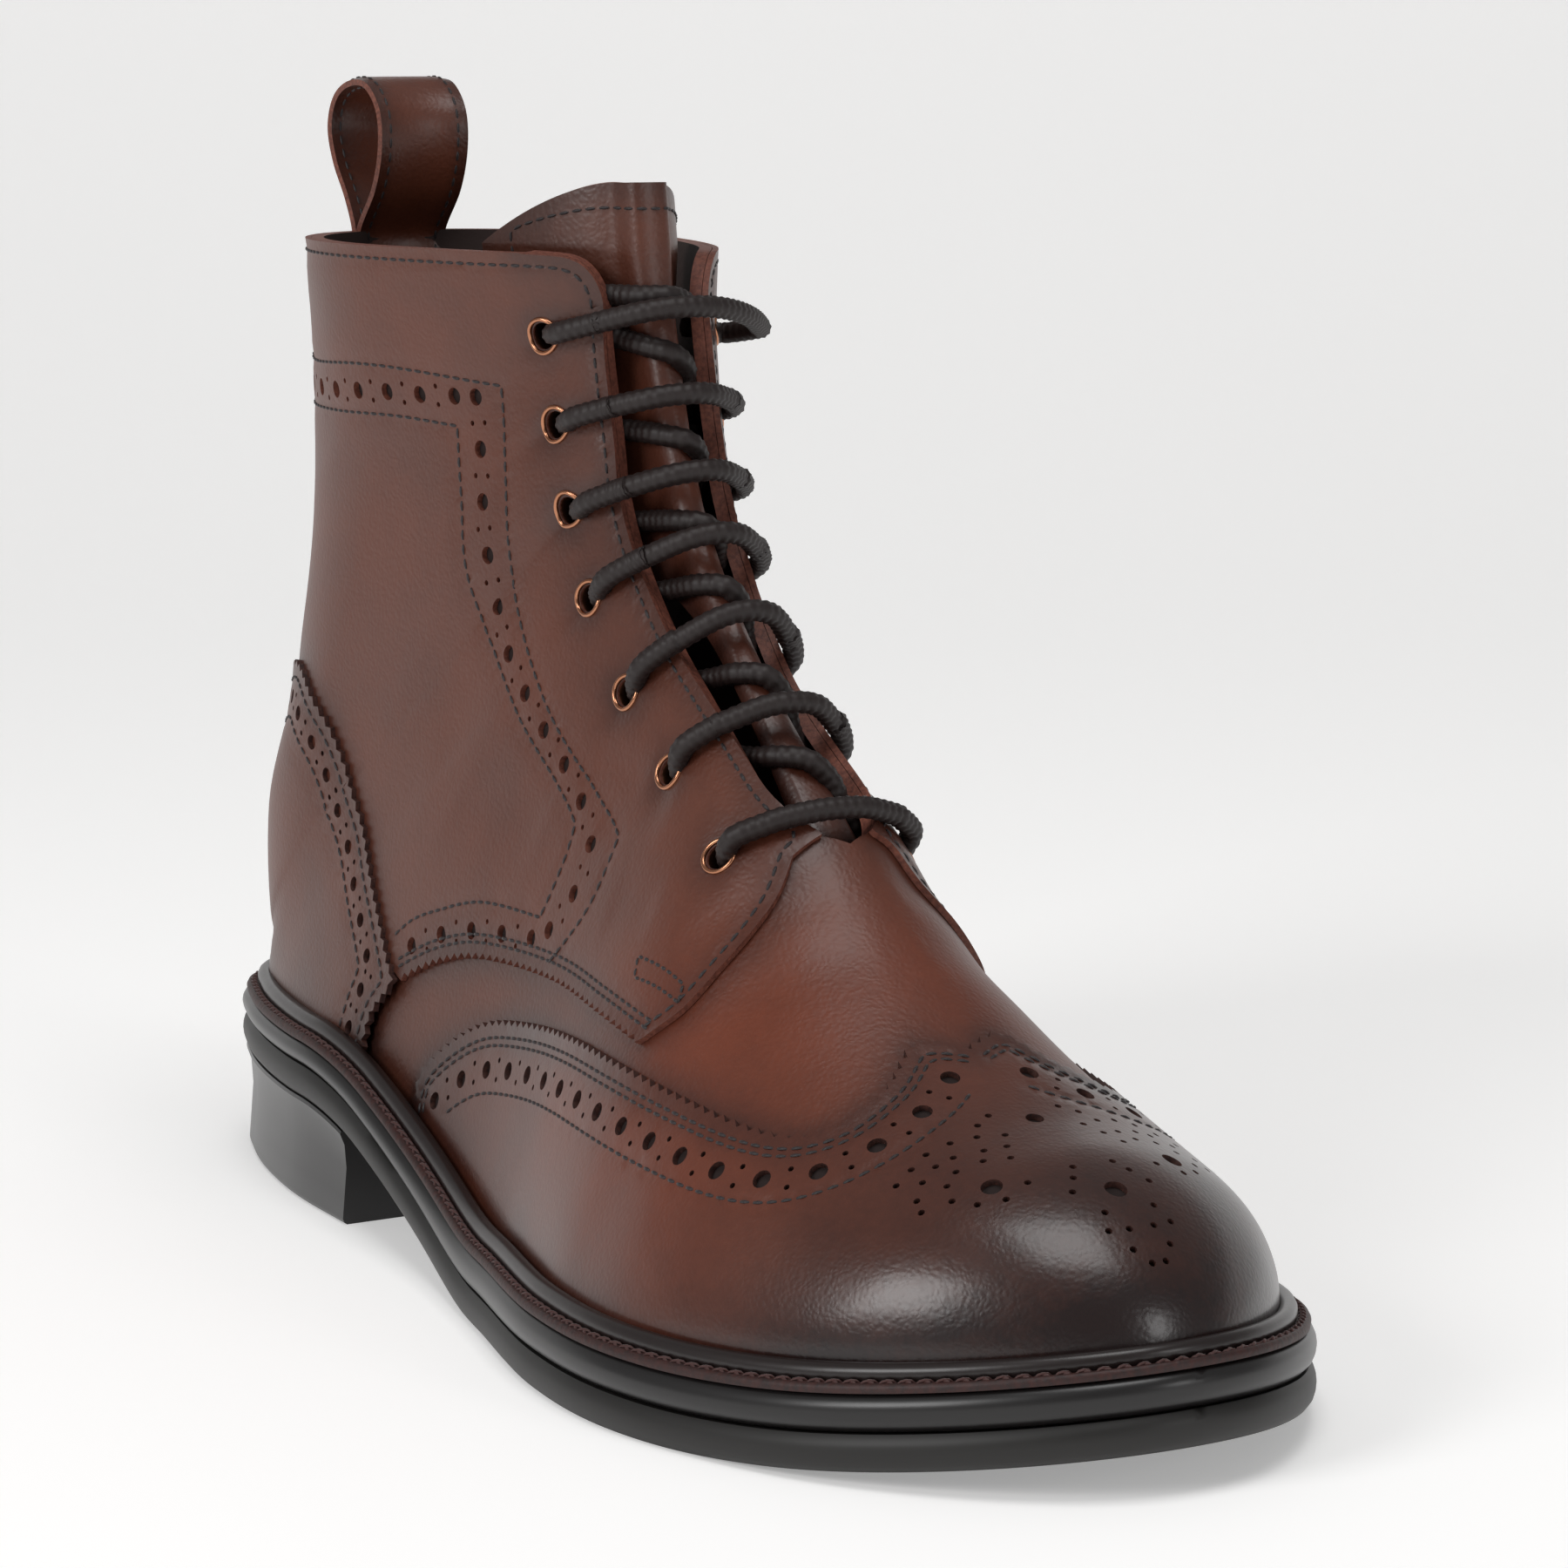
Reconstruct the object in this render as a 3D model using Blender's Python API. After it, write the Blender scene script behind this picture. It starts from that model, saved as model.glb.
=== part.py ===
# Right brogue ankle boot with a side zip, standing empty on its sole.
# Last frame: x from the back of the sole to the toe, -y is the outer (lateral) side, z up from the floor.
import math

import bmesh
import bpy
import numpy as np
from mathutils import Vector
from mathutils.geometry import delaunay_2d_cdt

# Driving sizes, metres
LENGTH = 0.305              # sole, back of the heel to the toe
BALL_WIDTH = 0.112
HEEL_WIDTH = 0.0755
HEEL_HEIGHT = 0.020         # floor to the underside of the outsole
HEEL_LENGTH = 0.088         # back of the sole to the breast of the heel
SOLE_AT_HEEL = 0.0103       # outsole and midsole together
SOLE_AT_BALL = 0.0120
OUTSOLE_THICKNESS = 0.0060
TOE_SPRING = 0.008
TOE_SWING = 0.0045          # toe tip to the inner side of the heel's centre
FEATHER_INSET = 0.0072      # edge of the sole to the foot of the upper
WELT_THICKNESS = 0.0015
BEAD_HEIGHT = 0.0042        # top of the storm bead above the midsole
INSOLE_THICKNESS = 0.0030
INSOLE_GAP = 0.0025         # insole to the inside of the upper
COLLAR_HEIGHT = 0.177       # floor to the collar
COLLAR_WIDTH = 0.070
WALL = 0.0022               # vamp leather with its lining
LEATHER = 0.0012            # one overlaid panel
HALF_GAP = 0.0090           # centre of the throat to the edge of a facing
CORNER = 0.0095             # how far the rounded top corner of a facing falls back
NOSE = 0.030                # length over which the toe closes
TONGUE_THICKNESS = 0.0026
TONGUE_RISE = 0.011         # tongue above the collar
EYELET_PAIRS = 7
EYELET_INSET = 0.0130       # edge of a facing to an eyelet
EYELET_RADIUS = 0.0036
EYELET_HOLE = 0.0022
EYELET_HEIGHT = 0.0010
LACE_RADIUS = 0.0018
LOOP_WIDTH = 0.018
LOOP_HEIGHT = 0.028
LOOP_THICKNESS = 0.0016
ZIP_GAP = 0.0080            # between the two leather edges
ZIP_CHAIN_WIDTH = 0.0064
ZIP_CHAIN_THICKNESS = 0.0008
SLIDER_LENGTH = 0.0095
SLIDER_THICKNESS = 0.0020
BRIDGE_HEIGHT = 0.0032
BRIDGE_LEG = 0.0009
WIRE_RADIUS = 0.0006
PULL_LINK = 0.0100          # hinge to the tab
PULL_TAB = 0.0120
CLEARANCE = 0.0003

# Sole outline: along the length, outer and inner half width as shares of the local width
OUTLINE = (
    (0.000, 0.000, 0.000),
    (0.026, 0.310, 0.310),
    (0.092, 0.440, 0.455),
    (0.197, 0.522, 0.478),
    (0.311, 0.520, 0.425),
    (0.426, 0.462, 0.375),
    (0.541, 0.455, 0.395),
    (0.656, 0.504, 0.470),
    (0.754, 0.500, 0.491),
    (0.859, 0.406, 0.455),
    (0.934, 0.268, 0.345),
    (0.984, 0.110, 0.195),
)

# Sections of the upper from the toe to the collar. Each runs from its low end, on the feather line or up
# the heel, to its high end, on the ridge of the vamp or up the throat. x is a share of the upper's length,
# z of the collar height (0 means on the feather line), widths of the local half width.
# low x, low z, high x, high z, outer width, inner width, round, crown, outer taper, inner taper
SECTIONS = (
    (1.000, 0.000, 1.000, 0.240, 1.00, 1.00, 0.30, 2.30, 0.00, 0.00),
    (0.930, 0.000, 0.930, 0.248, 1.02, 1.02, 0.30, 2.30, 0.02, 0.02),
    (0.870, 0.000, 0.870, 0.264, 1.02, 1.03, 0.30, 2.20, 0.05, 0.05),
    (0.800, 0.000, 0.802, 0.306, 1.02, 1.03, 0.30, 2.10, 0.12, 0.12),
    (0.740, 0.000, 0.744, 0.364, 1.01, 1.02, 0.30, 2.00, 0.22, 0.22),
    (0.680, 0.000, 0.688, 0.438, 1.00, 1.01, 0.30, 2.00, 0.32, 0.32),
    (0.620, 0.000, 0.640, 0.518, 1.00, 1.00, 0.30, 2.00, 0.38, 0.36),
    (0.550, 0.000, 0.598, 0.578, 1.00, 1.00, 0.30, 2.00, 0.40, 0.36),
    (0.470, 0.000, 0.564, 0.630, 0.98, 1.01, 0.30, 2.20, 0.42, 0.36),
    (0.380, 0.000, 0.536, 0.677, 0.94, 0.99, 0.30, 2.40, 0.42, 0.34),
    (0.280, 0.000, 0.513, 0.720, 0.92, 0.95, 0.30, 2.60, 0.40, 0.32),
    (0.170, 0.000, 0.496, 0.760, 0.91, 0.94, 0.30, 2.80, 0.38, 0.30),
    (0.080, 0.000, 0.486, 0.795, 0.90, 0.94, 0.30, 3.00, 0.36, 0.28),
    (0.000, 0.000, 0.480, 0.822, 0.91, 0.97, 0.30, 3.20, 0.34, 0.26),
    (-0.006, 0.300, 0.474, 0.850, 0.92, 0.96, 0.34, 3.30, 0.32, 0.25),
    (0.016, 0.440, 0.467, 0.888, 0.88, 0.94, 0.40, 3.30, 0.30, 0.24),
    (0.045, 0.630, 0.460, 0.928, 0.86, 0.93, 0.46, 3.20, 0.28, 0.22),
    (0.062, 0.800, 0.454, 0.965, 0.92, 0.96, 0.50, 3.20, 0.25, 0.22),
    (0.074, 1.000, 0.451, 1.000, 1.00, 1.00, 0.50, 3.20, 0.22, 0.22),
)
HEEL_ROW = 13               # its low end is the back of the heel on the feather line
TOP_ROW = 18                # the collar
THROAT_ROW = 5.4            # the throat opens behind this row
CORNER_ROW = 16.8           # the facings' top corners start here
SHAFT_START = 6.5           # widths follow the sole below this row, the collar above SHAFT_END
SHAFT_END = 12.0
WAIST_SHARE = 0.10          # the shaft's rows take the feather width from here forward

# The grid that the upper and the panels share: first row, last row, steps between them
ROW_RUNS = ((0.0, 1.2, 4), (1.2, 5.4, 7), (5.4, 6.2, 2), (6.2, 11.0, 6), (11.0, 13.0, 4), (13.0, 16.8, 5),
            (16.8, 18.0, 2))
HEIGHTS = (0.0, 0.07, 0.15, 0.24, 0.35, 0.47, 0.59, 0.70, 0.80, 0.88, 0.95, 1.0)
FINE_ROWS = 0.30            # steps along the feather line and the throat
GRID_ASPECT = 14.0          # rows that the height around a section is worth

# Edge of the wingtip: height around the section, row that the edge reaches there
WING_EDGE = ((0.00, 9.40), (0.18, 9.45), (0.30, 9.05), (0.37, 8.35), (0.44, 6.90), (0.53, 4.75),
             (0.63, 3.35), (0.72, 2.85), (0.83, 2.90), (0.92, 3.20), (1.00, 3.45))
# Counter: height around the section, front row and back row of the panel there
COUNTER_EDGE = ((0.00, 10.10, 15.45), (0.19, 10.28, 15.30), (0.25, 10.30, 15.15), (0.30, 10.75, 14.90),
                (0.37, 11.45, 14.40), (0.43, 13.20, 13.60))
# Foot of the quarter: row, height around the section where it meets the vamp or the counter
QUARTER_FOOT = ((5.65, 0.529), (8.10, 0.450), (9.35, 0.383), (9.93, 0.321), (10.20, 0.285),
                (10.45, 0.292), (11.43, 0.388), (12.40, 0.425), (13.40, 0.447), (14.00, 0.425),
                (14.60, 0.375), (15.18, 0.275), (15.52, 0.150), (15.72, 0.0015), (18.00, 0.0015))
# Front edge of the quarter: share from its tip to the throat, row
QUARTER_FRONT = ((0.0, 5.65), (0.3, 5.25), (0.6, 5.18), (0.9, 5.25), (1.0, 5.50))
EYELET_ROWS = (16.6, 15.05, 13.2, 11.0, 9.3, 7.75, 6.15)
ZIP_FOOT_ROW = 13.4
ZIP_LINE = ((0.222, 0.47), (0.205, 1.00))  # foot and top: share of the upper's length, of the collar height
LOOP_PROFILE = (            # back and up as shares of the loop's height, from one end round to the other
    (-0.04, 0.00), (-0.16, 0.22), (-0.34, 0.45), (-0.42, 0.68), (-0.32, 0.88), (-0.08, 0.98),
    (0.20, 0.97), (0.40, 0.80), (0.42, 0.55), (0.30, 0.28), (0.04, 0.00),
)


def smooth(share):
    share = np.clip(share, 0.0, 1.0)
    return share * share * (3.0 - 2.0 * share)


def steady(x, xs, ys):
    # a smooth curve through the rows of a table that never overshoots them
    xs = np.asarray(xs, float)
    ys = np.asarray(ys, float)
    step = np.diff(xs)
    rise = np.diff(ys) / step
    slope = np.zeros(len(xs))
    for i in range(1, len(xs) - 1):
        if rise[i - 1] * rise[i] > 0:
            slope[i] = 2 * rise[i - 1] * rise[i] / (rise[i - 1] + rise[i])
    i = np.clip(np.searchsorted(xs, x) - 1, 0, len(step) - 1)
    t = np.clip((x - xs[i]) / step[i], 0.0, 1.0)
    start = ys[i] * (1 + 2 * t) * (1 - t) ** 2 + step[i] * slope[i] * t * (1 - t) ** 2
    return start + ys[i + 1] * t * t * (3 - 2 * t) + step[i] * slope[i + 1] * t * t * (t - 1)


def round_loop(points, count):
    # a closed smooth curve through the points, with count steps between two of them
    loop = []
    for i in range(len(points)):
        a, b, c, d = (np.array(points[(i + k) % len(points)]) for k in (-1, 0, 1, 2))
        for t in np.arange(count) / count:
            bend = (2 * a - 5 * b + 4 * c - d) * t * t + (3 * b - a - 3 * c + d) * t ** 3
            loop.append(0.5 * (2 * b + (c - a) * t + bend))
    return np.array(loop)


def sole_outline(count=12):
    along, outer, inner = np.array(OUTLINE).T
    width = HEEL_WIDTH + (BALL_WIDTH - HEEL_WIDTH) * smooth((along - 0.25) / 0.35)
    lateral = list(zip(along * LENGTH, -outer * width))
    medial = list(zip(along * LENGTH, inner * width))
    return round_loop(lateral + [(LENGTH, TOE_SWING)] + medial[:0:-1], count)


def inset(loop, distance):
    run = np.roll(loop, -1, axis=0) - np.roll(loop, 1, axis=0)
    run /= np.linalg.norm(run, axis=1)[:, None]
    return loop + distance * np.stack([-run[:, 1], run[:, 0]], axis=1)


def halves(loop):
    # the outer and the inner edge of a closed outline, each from back to toe
    loop = np.roll(loop, -loop[:, 0].argmin(), axis=0)
    tip = loop[:, 0].argmax()
    return loop[:tip + 1], np.vstack([loop[tip:], loop[:1]])[::-1]


OUTER_LOOP = sole_outline()
FEATHER_OUTER, FEATHER_INNER = halves(inset(OUTER_LOOP, FEATHER_INSET))
BACK, BACK_Y = FEATHER_OUTER[0]
TIP, TIP_Y = FEATHER_OUTER[-1]
REACH = TIP - BACK
ORIGIN = np.append((OUTER_LOOP.min(axis=0) + OUTER_LOOP.max(axis=0)) / 2, 0.0)


def sole_top(x):
    heel = HEEL_HEIGHT + SOLE_AT_HEEL
    arch = smooth((x / LENGTH - 0.22) / 0.31)
    return heel + (SOLE_AT_BALL - heel) * arch + TOE_SPRING * np.clip((x / LENGTH - 0.77) / 0.23, 0, 1) ** 2


def sole_bottom(x):
    arch = smooth((x / LENGTH - 0.22) / 0.31)
    return sole_top(x) - SOLE_AT_HEEL - (SOLE_AT_BALL - SOLE_AT_HEEL) * arch


def centre_line(x):
    return BACK_Y + (TIP_Y - BACK_Y) * np.clip((x - BACK) / REACH, 0, 1)


def feather_half(x, side):
    edge = FEATHER_OUTER if side < 0 else FEATHER_INNER
    return np.maximum(side * (np.interp(x, edge[:, 0], edge[:, 1]) - centre_line(x)), 0.0)


def surface(row, height, side):
    # a point of the upper's outside: row along the boot, height 0 to 1 around the section
    row = np.asarray(row, float)
    table = np.array(SECTIONS)
    k = np.arange(len(table))
    _, _, high_share, high_level, outer, inner, ease, crown, taper, inner_taper = (
        steady(row, k, column) for column in table.T)
    width = outer if side < 0 else inner
    taper = taper if side < 0 else inner_taper
    split = HEEL_ROW + 1
    low_share = np.where(row <= HEEL_ROW, steady(np.minimum(row, HEEL_ROW), k[:split], table[:split, 0]),
                         steady(np.maximum(row, HEEL_ROW), k[HEEL_ROW:], table[HEEL_ROW:, 0]))
    low_x = BACK + low_share * REACH
    high_x = BACK + high_share * REACH
    heel_level = np.append((sole_top(BACK) + CLEARANCE) / COLLAR_HEIGHT, table[HEEL_ROW + 1:, 1])
    heel_z = steady(np.maximum(row, HEEL_ROW), k[HEEL_ROW:], heel_level) * COLLAR_HEIGHT
    low_z = np.where(row <= HEEL_ROW, sole_top(low_x) + CLEARANCE, heel_z)
    closing = np.sqrt(1 - (1 - np.clip((TIP - high_x) / NOSE, 0, 1)) ** 2)
    seat = sole_top(high_x) + CLEARANCE
    high_z = seat + (high_level * COLLAR_HEIGHT - seat) * closing
    f = (1 - np.cos(np.pi * height)) / 2
    x = low_x + (high_x - low_x) * f
    foot = np.where(row < HEEL_ROW, feather_half(low_x, side), 0.0)
    shaft = smooth((row - SHAFT_START) / (SHAFT_END - SHAFT_START))
    waist = feather_half(np.maximum(low_x, BACK + WAIST_SHARE * LENGTH), side)
    half = ((1 - shaft) * waist + shaft * COLLAR_WIDTH / 2) * width
    start = np.clip(foot / np.maximum(half, 1e-9), 0, 1)
    near_foot = np.clip(1 - f / ease, 0, 1) ** 2
    wide = half * np.sqrt(1 - (1 - start ** 2) * near_foot) + np.maximum(foot - half, 0) * near_foot
    y = centre_line(x) + side * wide * np.sqrt(np.clip(1 - f ** crown, 0, 1)) * (1 - taper * f)
    return np.stack([x, y, low_z + (high_z - low_z) * f], axis=-1)


def outward(row, height, side):
    step = 0.02
    row = np.clip(row, 0.15, TOP_ROW - step)
    height = np.clip(height, 0.03, 0.97)
    along = surface(row + step, height, side) - surface(row - step, height, side)
    around = surface(row, height + step, side) - surface(row, height - step, side)
    normal = np.cross(along, around) * side
    return normal / np.linalg.norm(normal, axis=-1, keepdims=True)


def throat_gap(row):
    opening = np.sqrt(1 - (1 - np.clip(row - THROAT_ROW, 0, 1)) ** 2)
    corner = np.clip((row - CORNER_ROW) / (TOP_ROW - CORNER_ROW), 0, 1)
    return HALF_GAP * opening + CORNER * (1 - np.sqrt(1 - corner ** 2))


def height_at(row, offset, side):
    # height around the section where the upper lies this far from the centre line, near the ridge
    heights = np.linspace(0.5, 1.0, 101)
    points = surface(np.full(101, row), heights, side)
    offsets = side * (points[:, 1] - centre_line(points[:, 0]))
    return float(np.interp(-offset, -offsets, heights))


def throat_edge(row, side):
    return 1.0 if row <= THROAT_ROW else height_at(row, float(throat_gap(row)), side)


def material(name, colour, roughness, metallic=0.0):
    made = bpy.data.materials.new(name)
    made.use_nodes = True
    shader = made.node_tree.nodes["Principled BSDF"]
    shader.inputs["Base Color"].default_value = (*colour, 1.0)
    shader.inputs["Roughness"].default_value = roughness
    shader.inputs["Metallic"].default_value = metallic
    made.diffuse_color = (*colour, 1.0)
    return made


def solid(name, points, faces, finish, pivot=(0.0, 0.0, 0.0), angle=35.0):
    pivot = np.asarray(pivot)
    mesh = bpy.data.meshes.new(name)
    made = bmesh.new()
    corners = [made.verts.new(point) for point in np.asarray(points) - pivot]
    for face in faces:
        made.faces.new([corners[i] for i in face])
    bmesh.ops.recalc_face_normals(made, faces=made.faces)
    bmesh.ops.triangulate(made, faces=made.faces)
    made.to_mesh(mesh)
    made.free()
    mesh.materials.append(finish)
    mesh.shade_smooth()
    mesh.set_sharp_from_angle(angle=math.radians(angle))
    piece = bpy.data.objects.new(name, mesh)
    piece.location = pivot - ORIGIN
    bpy.context.scene.collection.objects.link(piece)
    return piece


def skin(name, patches, low, high, finish):
    # a closed shell between two offsets of one sheet; its patches are (points, normals, level points, cells)
    index = {}
    points = []
    normals = []
    flat = []
    cells = []
    for number, (places, directions, level, faces) in enumerate(patches):
        ids = []
        for at, normal, kept_level in zip(places, directions, level):
            key = tuple(np.round(at, 7))
            if key not in index:
                index[key] = len(points)
                points.append(at)
                normals.append(np.zeros(3))
                flat.append(kept_level)
            ids.append(index[key])
            normals[ids[-1]] += normal
        for face in faces:
            ring = [ids[v] for v in face]
            cell = [v for n, v in enumerate(ring) if v != ring[n - 1]]
            if len(cell) > 2:
                cells.append(cell[::-1] if number else cell)
    normals = np.array(normals)
    normals[flat, 2] = 0.0
    normals /= np.linalg.norm(normals, axis=1)[:, None]
    points = np.array(points)
    used = sorted({v for cell in cells for v in cell})
    new = {v: n for n, v in enumerate(used)}
    cells = [[new[v] for v in cell] for cell in cells]
    points = points[used]
    normals = normals[used]
    edges = {(cell[n - 1], v) for cell in cells for n, v in enumerate(cell)}
    count = len(points)
    faces = list(cells)
    faces += [[v + count for v in reversed(cell)] for cell in cells]
    faces += [[b, a, a + count, b + count] for a, b in edges if (b, a) not in edges]
    return solid(name, np.vstack([points + normals * high, points + normals * low]), faces, finish)


def quads(count, columns):
    return [(i, i + columns, i + columns + 1, i + 1) for i in range(count - columns) if (i + 1) % columns]


def patch(rows, heights, side):
    # a regular sheet over the upper's outside
    points = surface(rows, heights, side).reshape(-1, 3)
    normals = outward(rows, heights, side).reshape(-1, 3)
    return points, normals, np.ravel(rows >= TOP_ROW), quads(len(points), rows.shape[1])


def grid_rows():
    runs = [np.linspace(first, last, steps, endpoint=False) for first, last, steps in ROW_RUNS]
    return np.append(np.concatenate(runs), TOP_ROW)


def fine(first, last, extra=()):
    # rows from one to another, with every fine step between them
    low, high = min(first, last), max(first, last)
    steps = np.append(np.arange(0, TOP_ROW + FINE_ROWS, FINE_ROWS), extra)
    rows = np.unique(np.concatenate([[low, high], steps[(steps > low + 0.05) & (steps < high - 0.05)]]))
    return rows if first < last else rows[::-1]


def panel(outline, side):
    # the part of the shared grid inside an outline of (row, height) points, listed anticlockwise
    rows = grid_rows()
    nodes = [Vector((row, height * GRID_ASPECT)) for row in rows for height in HEIGHTS]
    wide = len(HEIGHTS)
    edges = [(i, i + 1) for i in range(len(nodes)) if (i + 1) % wide]
    edges += [(i, i + wide) for i in range(len(nodes) - wide)]
    ring = list(range(len(nodes), len(nodes) + len(outline)))
    nodes += [Vector((row, height * GRID_ASPECT)) for row, height in outline]
    made = delaunay_2d_cdt(nodes, edges, [ring], 0, 1e-5)
    place = np.array([tuple(at) for at in made[0]]) / (1.0, GRID_ASPECT)
    cells = [face for face, source in zip(made[2], made[5]) if source]
    level = ((place[:, 1] <= 1e-6) & (place[:, 0] <= HEEL_ROW)) | (place[:, 0] >= TOP_ROW - 1e-6)
    return surface(*place.T, side), outward(*place.T, side), level, cells


def rungs(count, distance, last=1.0):
    # outer and inner points of the outline at stations that crowd towards heel and toe
    outer, inner = halves(inset(OUTER_LOOP, distance))
    spread = (1 - np.cos(np.pi * np.linspace(0, 1, count))) / 2
    x = outer[0, 0] + (min(last * LENGTH, outer[-1, 0]) - outer[0, 0]) * spread
    return x, np.interp(x, outer[:, 0], outer[:, 1]), np.interp(x, inner[:, 0], inner[:, 1])


def ladder(name, levels, finish, count=34, last=1.0):
    # a layer of the sole: levels are (inset, height function) from the bottom up
    points = []
    ends = []
    for distance, height in levels:
        x, outer, inner = rungs(count, distance, last)
        ends.append(abs(outer[-1] - inner[-1]) < 1e-7)
        z = np.broadcast_to(height(x), x.shape)
        ring = np.stack([np.append(x, x[::-1]), np.append(outer, inner[::-1]), np.append(z, z[::-1])], axis=1)
        points.append(ring)
    size = 2 * count
    same = {size * level + size - 1: size * level for level in range(len(levels))}
    if all(ends):
        same.update({size * level + count: size * level + count - 1 for level in range(len(levels))})
    faces = []
    for level in range(len(levels) - 1):
        for i in range(size):
            a = level * size + i
            b = level * size + (i + 1) % size
            faces.append([a, b, b + size, a + size])
    for base in (0, (len(levels) - 1) * size):
        for i in range(count - 1):
            faces.append([base + i, base + i + 1, base + size - 2 - i, base + size - 1 - i])
    faces = [[same.get(v, v) for v in face] for face in faces]
    faces = [[v for n, v in enumerate(face) if v != face[n - 1]] for face in faces]
    faces = [face for face in faces if len(face) > 2]
    used = sorted({v for face in faces for v in face})
    new = {v: n for n, v in enumerate(used)}
    return solid(name, np.vstack(points)[used], [[new[v] for v in face] for face in faces], finish)


def sole(rubber, leather, insole_finish):
    step = CLEARANCE / 2
    ladder("outsole", (
        (0.0010, sole_bottom),
        (0.0002, lambda x: sole_bottom(x) + 0.2 * OUTSOLE_THICKNESS),
        (0.0004, lambda x: sole_bottom(x) + OUTSOLE_THICKNESS - step),
    ), rubber)

    def midsole_at(share):
        def height(x):
            foot = sole_bottom(x) + OUTSOLE_THICKNESS + step
            return foot + share * (sole_top(x) - foot)
        return height
    ladder("midsole", (
        (0.0012, midsole_at(0.0)),
        (0.0000, midsole_at(0.35)),
        (0.0002, midsole_at(0.75)),
        (0.0012, midsole_at(1.0)),
    ), rubber)
    ladder("insole", (
        (FEATHER_INSET + WALL + INSOLE_GAP, lambda x: sole_top(x) + CLEARANCE),
        (FEATHER_INSET + WALL + INSOLE_GAP, lambda x: sole_top(x) + CLEARANCE + INSOLE_THICKNESS),
    ), insole_finish, count=40)
    inner = FEATHER_INSET - LEATHER - 3 * CLEARANCE
    welt_section = ((0.0014, CLEARANCE), (0.0014, WELT_THICKNESS), (0.50 * inner, WELT_THICKNESS + CLEARANCE),
                    (0.62 * inner, 0.9 * BEAD_HEIGHT), (0.86 * inner, BEAD_HEIGHT), (inner, CLEARANCE))
    rings = []
    loop = sole_outline(3)
    for distance, height in welt_section:
        ring = inset(loop, distance)
        rings.append(np.column_stack([ring, sole_top(ring[:, 0]) + height]))
    count = len(loop)
    sides = len(welt_section)
    faces = [[k * count + i, k * count + (i + 1) % count, (k + 1) % sides * count + (i + 1) % count,
              (k + 1) % sides * count + i] for k in range(sides) for i in range(count)]
    solid("welt", np.vstack(rings), faces, leather)
    top = CLEARANCE
    ladder("heel", (
        (0.0010, lambda x: 0 * x),
        (0.0008, lambda x: 0 * x + 0.25 * HEEL_HEIGHT),
        (0.0020, lambda x: 0 * x + 0.60 * HEEL_HEIGHT),
        (0.0008, lambda x: sole_bottom(x) - top),
    ), rubber, count=14, last=HEEL_LENGTH / LENGTH)


def throat_line(first, last, side):
    # the edge of the throat or of a facing between two rows
    rows = fine(first, last, THROAT_ROW + np.array([0.0, 0.06, 0.15, 0.4]))
    return [(row, throat_edge(row, side)) for row in rows]


def upper(leather):
    patches = []
    for side in (-1, 1):
        outline = [(row, 0.0) for row in fine(0.0, TOP_ROW)]
        outline += throat_line(TOP_ROW, THROAT_ROW, side)
        outline += [(0.0, 1.0)]
        patches.append(panel(outline, side))
    skin("upper", patches, -WALL, 0.0, leather)


def overlay(name, patches, finish):
    skin(name, patches, CLEARANCE, CLEARANCE + LEATHER, finish)


def toe_cap(leather):
    around = np.linspace(1, 0, 19)
    edge = list(zip(steady(around, *np.array(WING_EDGE).T), around))
    outline = [(row, 0.0) for row in fine(0.0, WING_EDGE[0][1])[:-1]] + edge[::-1] + [(0.0, 1.0)]
    overlay("toe_cap", [panel(outline, side) for side in (-1, 1)], leather)


def counter(leather):
    around, front, back = np.array(COUNTER_EDGE).T
    spread = np.linspace(0, around[-1], 9)
    base = fine(front[0], back[0])[1:-1]
    outline = [(row, 0.0) for row in base]
    outline += list(zip(steady(spread, around, back), spread))
    outline += list(zip(steady(spread, around, front), spread))[::-1]
    overlay("counter", [panel(outline, side) for side in (-1, 1)], leather)


def zip_height(row):
    # height around the inner section where the zip's line crosses this row
    heights = np.linspace(0.05, 0.95, 181)
    points = surface(np.full(181, row), heights, 1)
    (foot_x, foot_z), (top_x, top_z) = ZIP_LINE
    share = (points[:, 2] / COLLAR_HEIGHT - foot_z) / (top_z - foot_z)
    line = BACK + (foot_x + (top_x - foot_x) * share) * REACH
    return float(np.interp(0.0, points[:, 0] - line, heights))


def zip_half(row, width):
    # half of a width across the zip, as a height around the section
    ends = surface(np.array([row, row]), np.array([zip_height(row) - 0.02, zip_height(row) + 0.02]), 1)
    return 0.02 * width / float(np.linalg.norm(ends[1] - ends[0]))


def quarter(side, leather):
    foot = np.array(QUARTER_FOOT)
    share, row = np.array(QUARTER_FRONT).T
    spread = np.linspace(0, 1, 8)
    front = steady(spread, share, row)
    height = foot[0, 1] + (throat_edge(front[-1], side) - foot[0, 1]) * spread
    outline = list(zip(front, height))
    outline += throat_line(front[-1], TOP_ROW, side)[1:]
    if side > 0:
        rows = fine(TOP_ROW, ZIP_FOOT_ROW)
        ahead = [(at, zip_height(at) + zip_half(at, ZIP_GAP)) for at in rows]
        behind = [(at, zip_height(at) - zip_half(at, ZIP_GAP)) for at in rows]
        outline += ahead + behind[::-1]
    rows = fine(TOP_ROW, foot[0, 0])[:-1]
    outline += list(zip(rows, steady(rows, *foot.T)))
    overlay("quarter_lateral" if side < 0 else "quarter_medial", [panel(outline[::-1], side)], leather)


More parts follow.
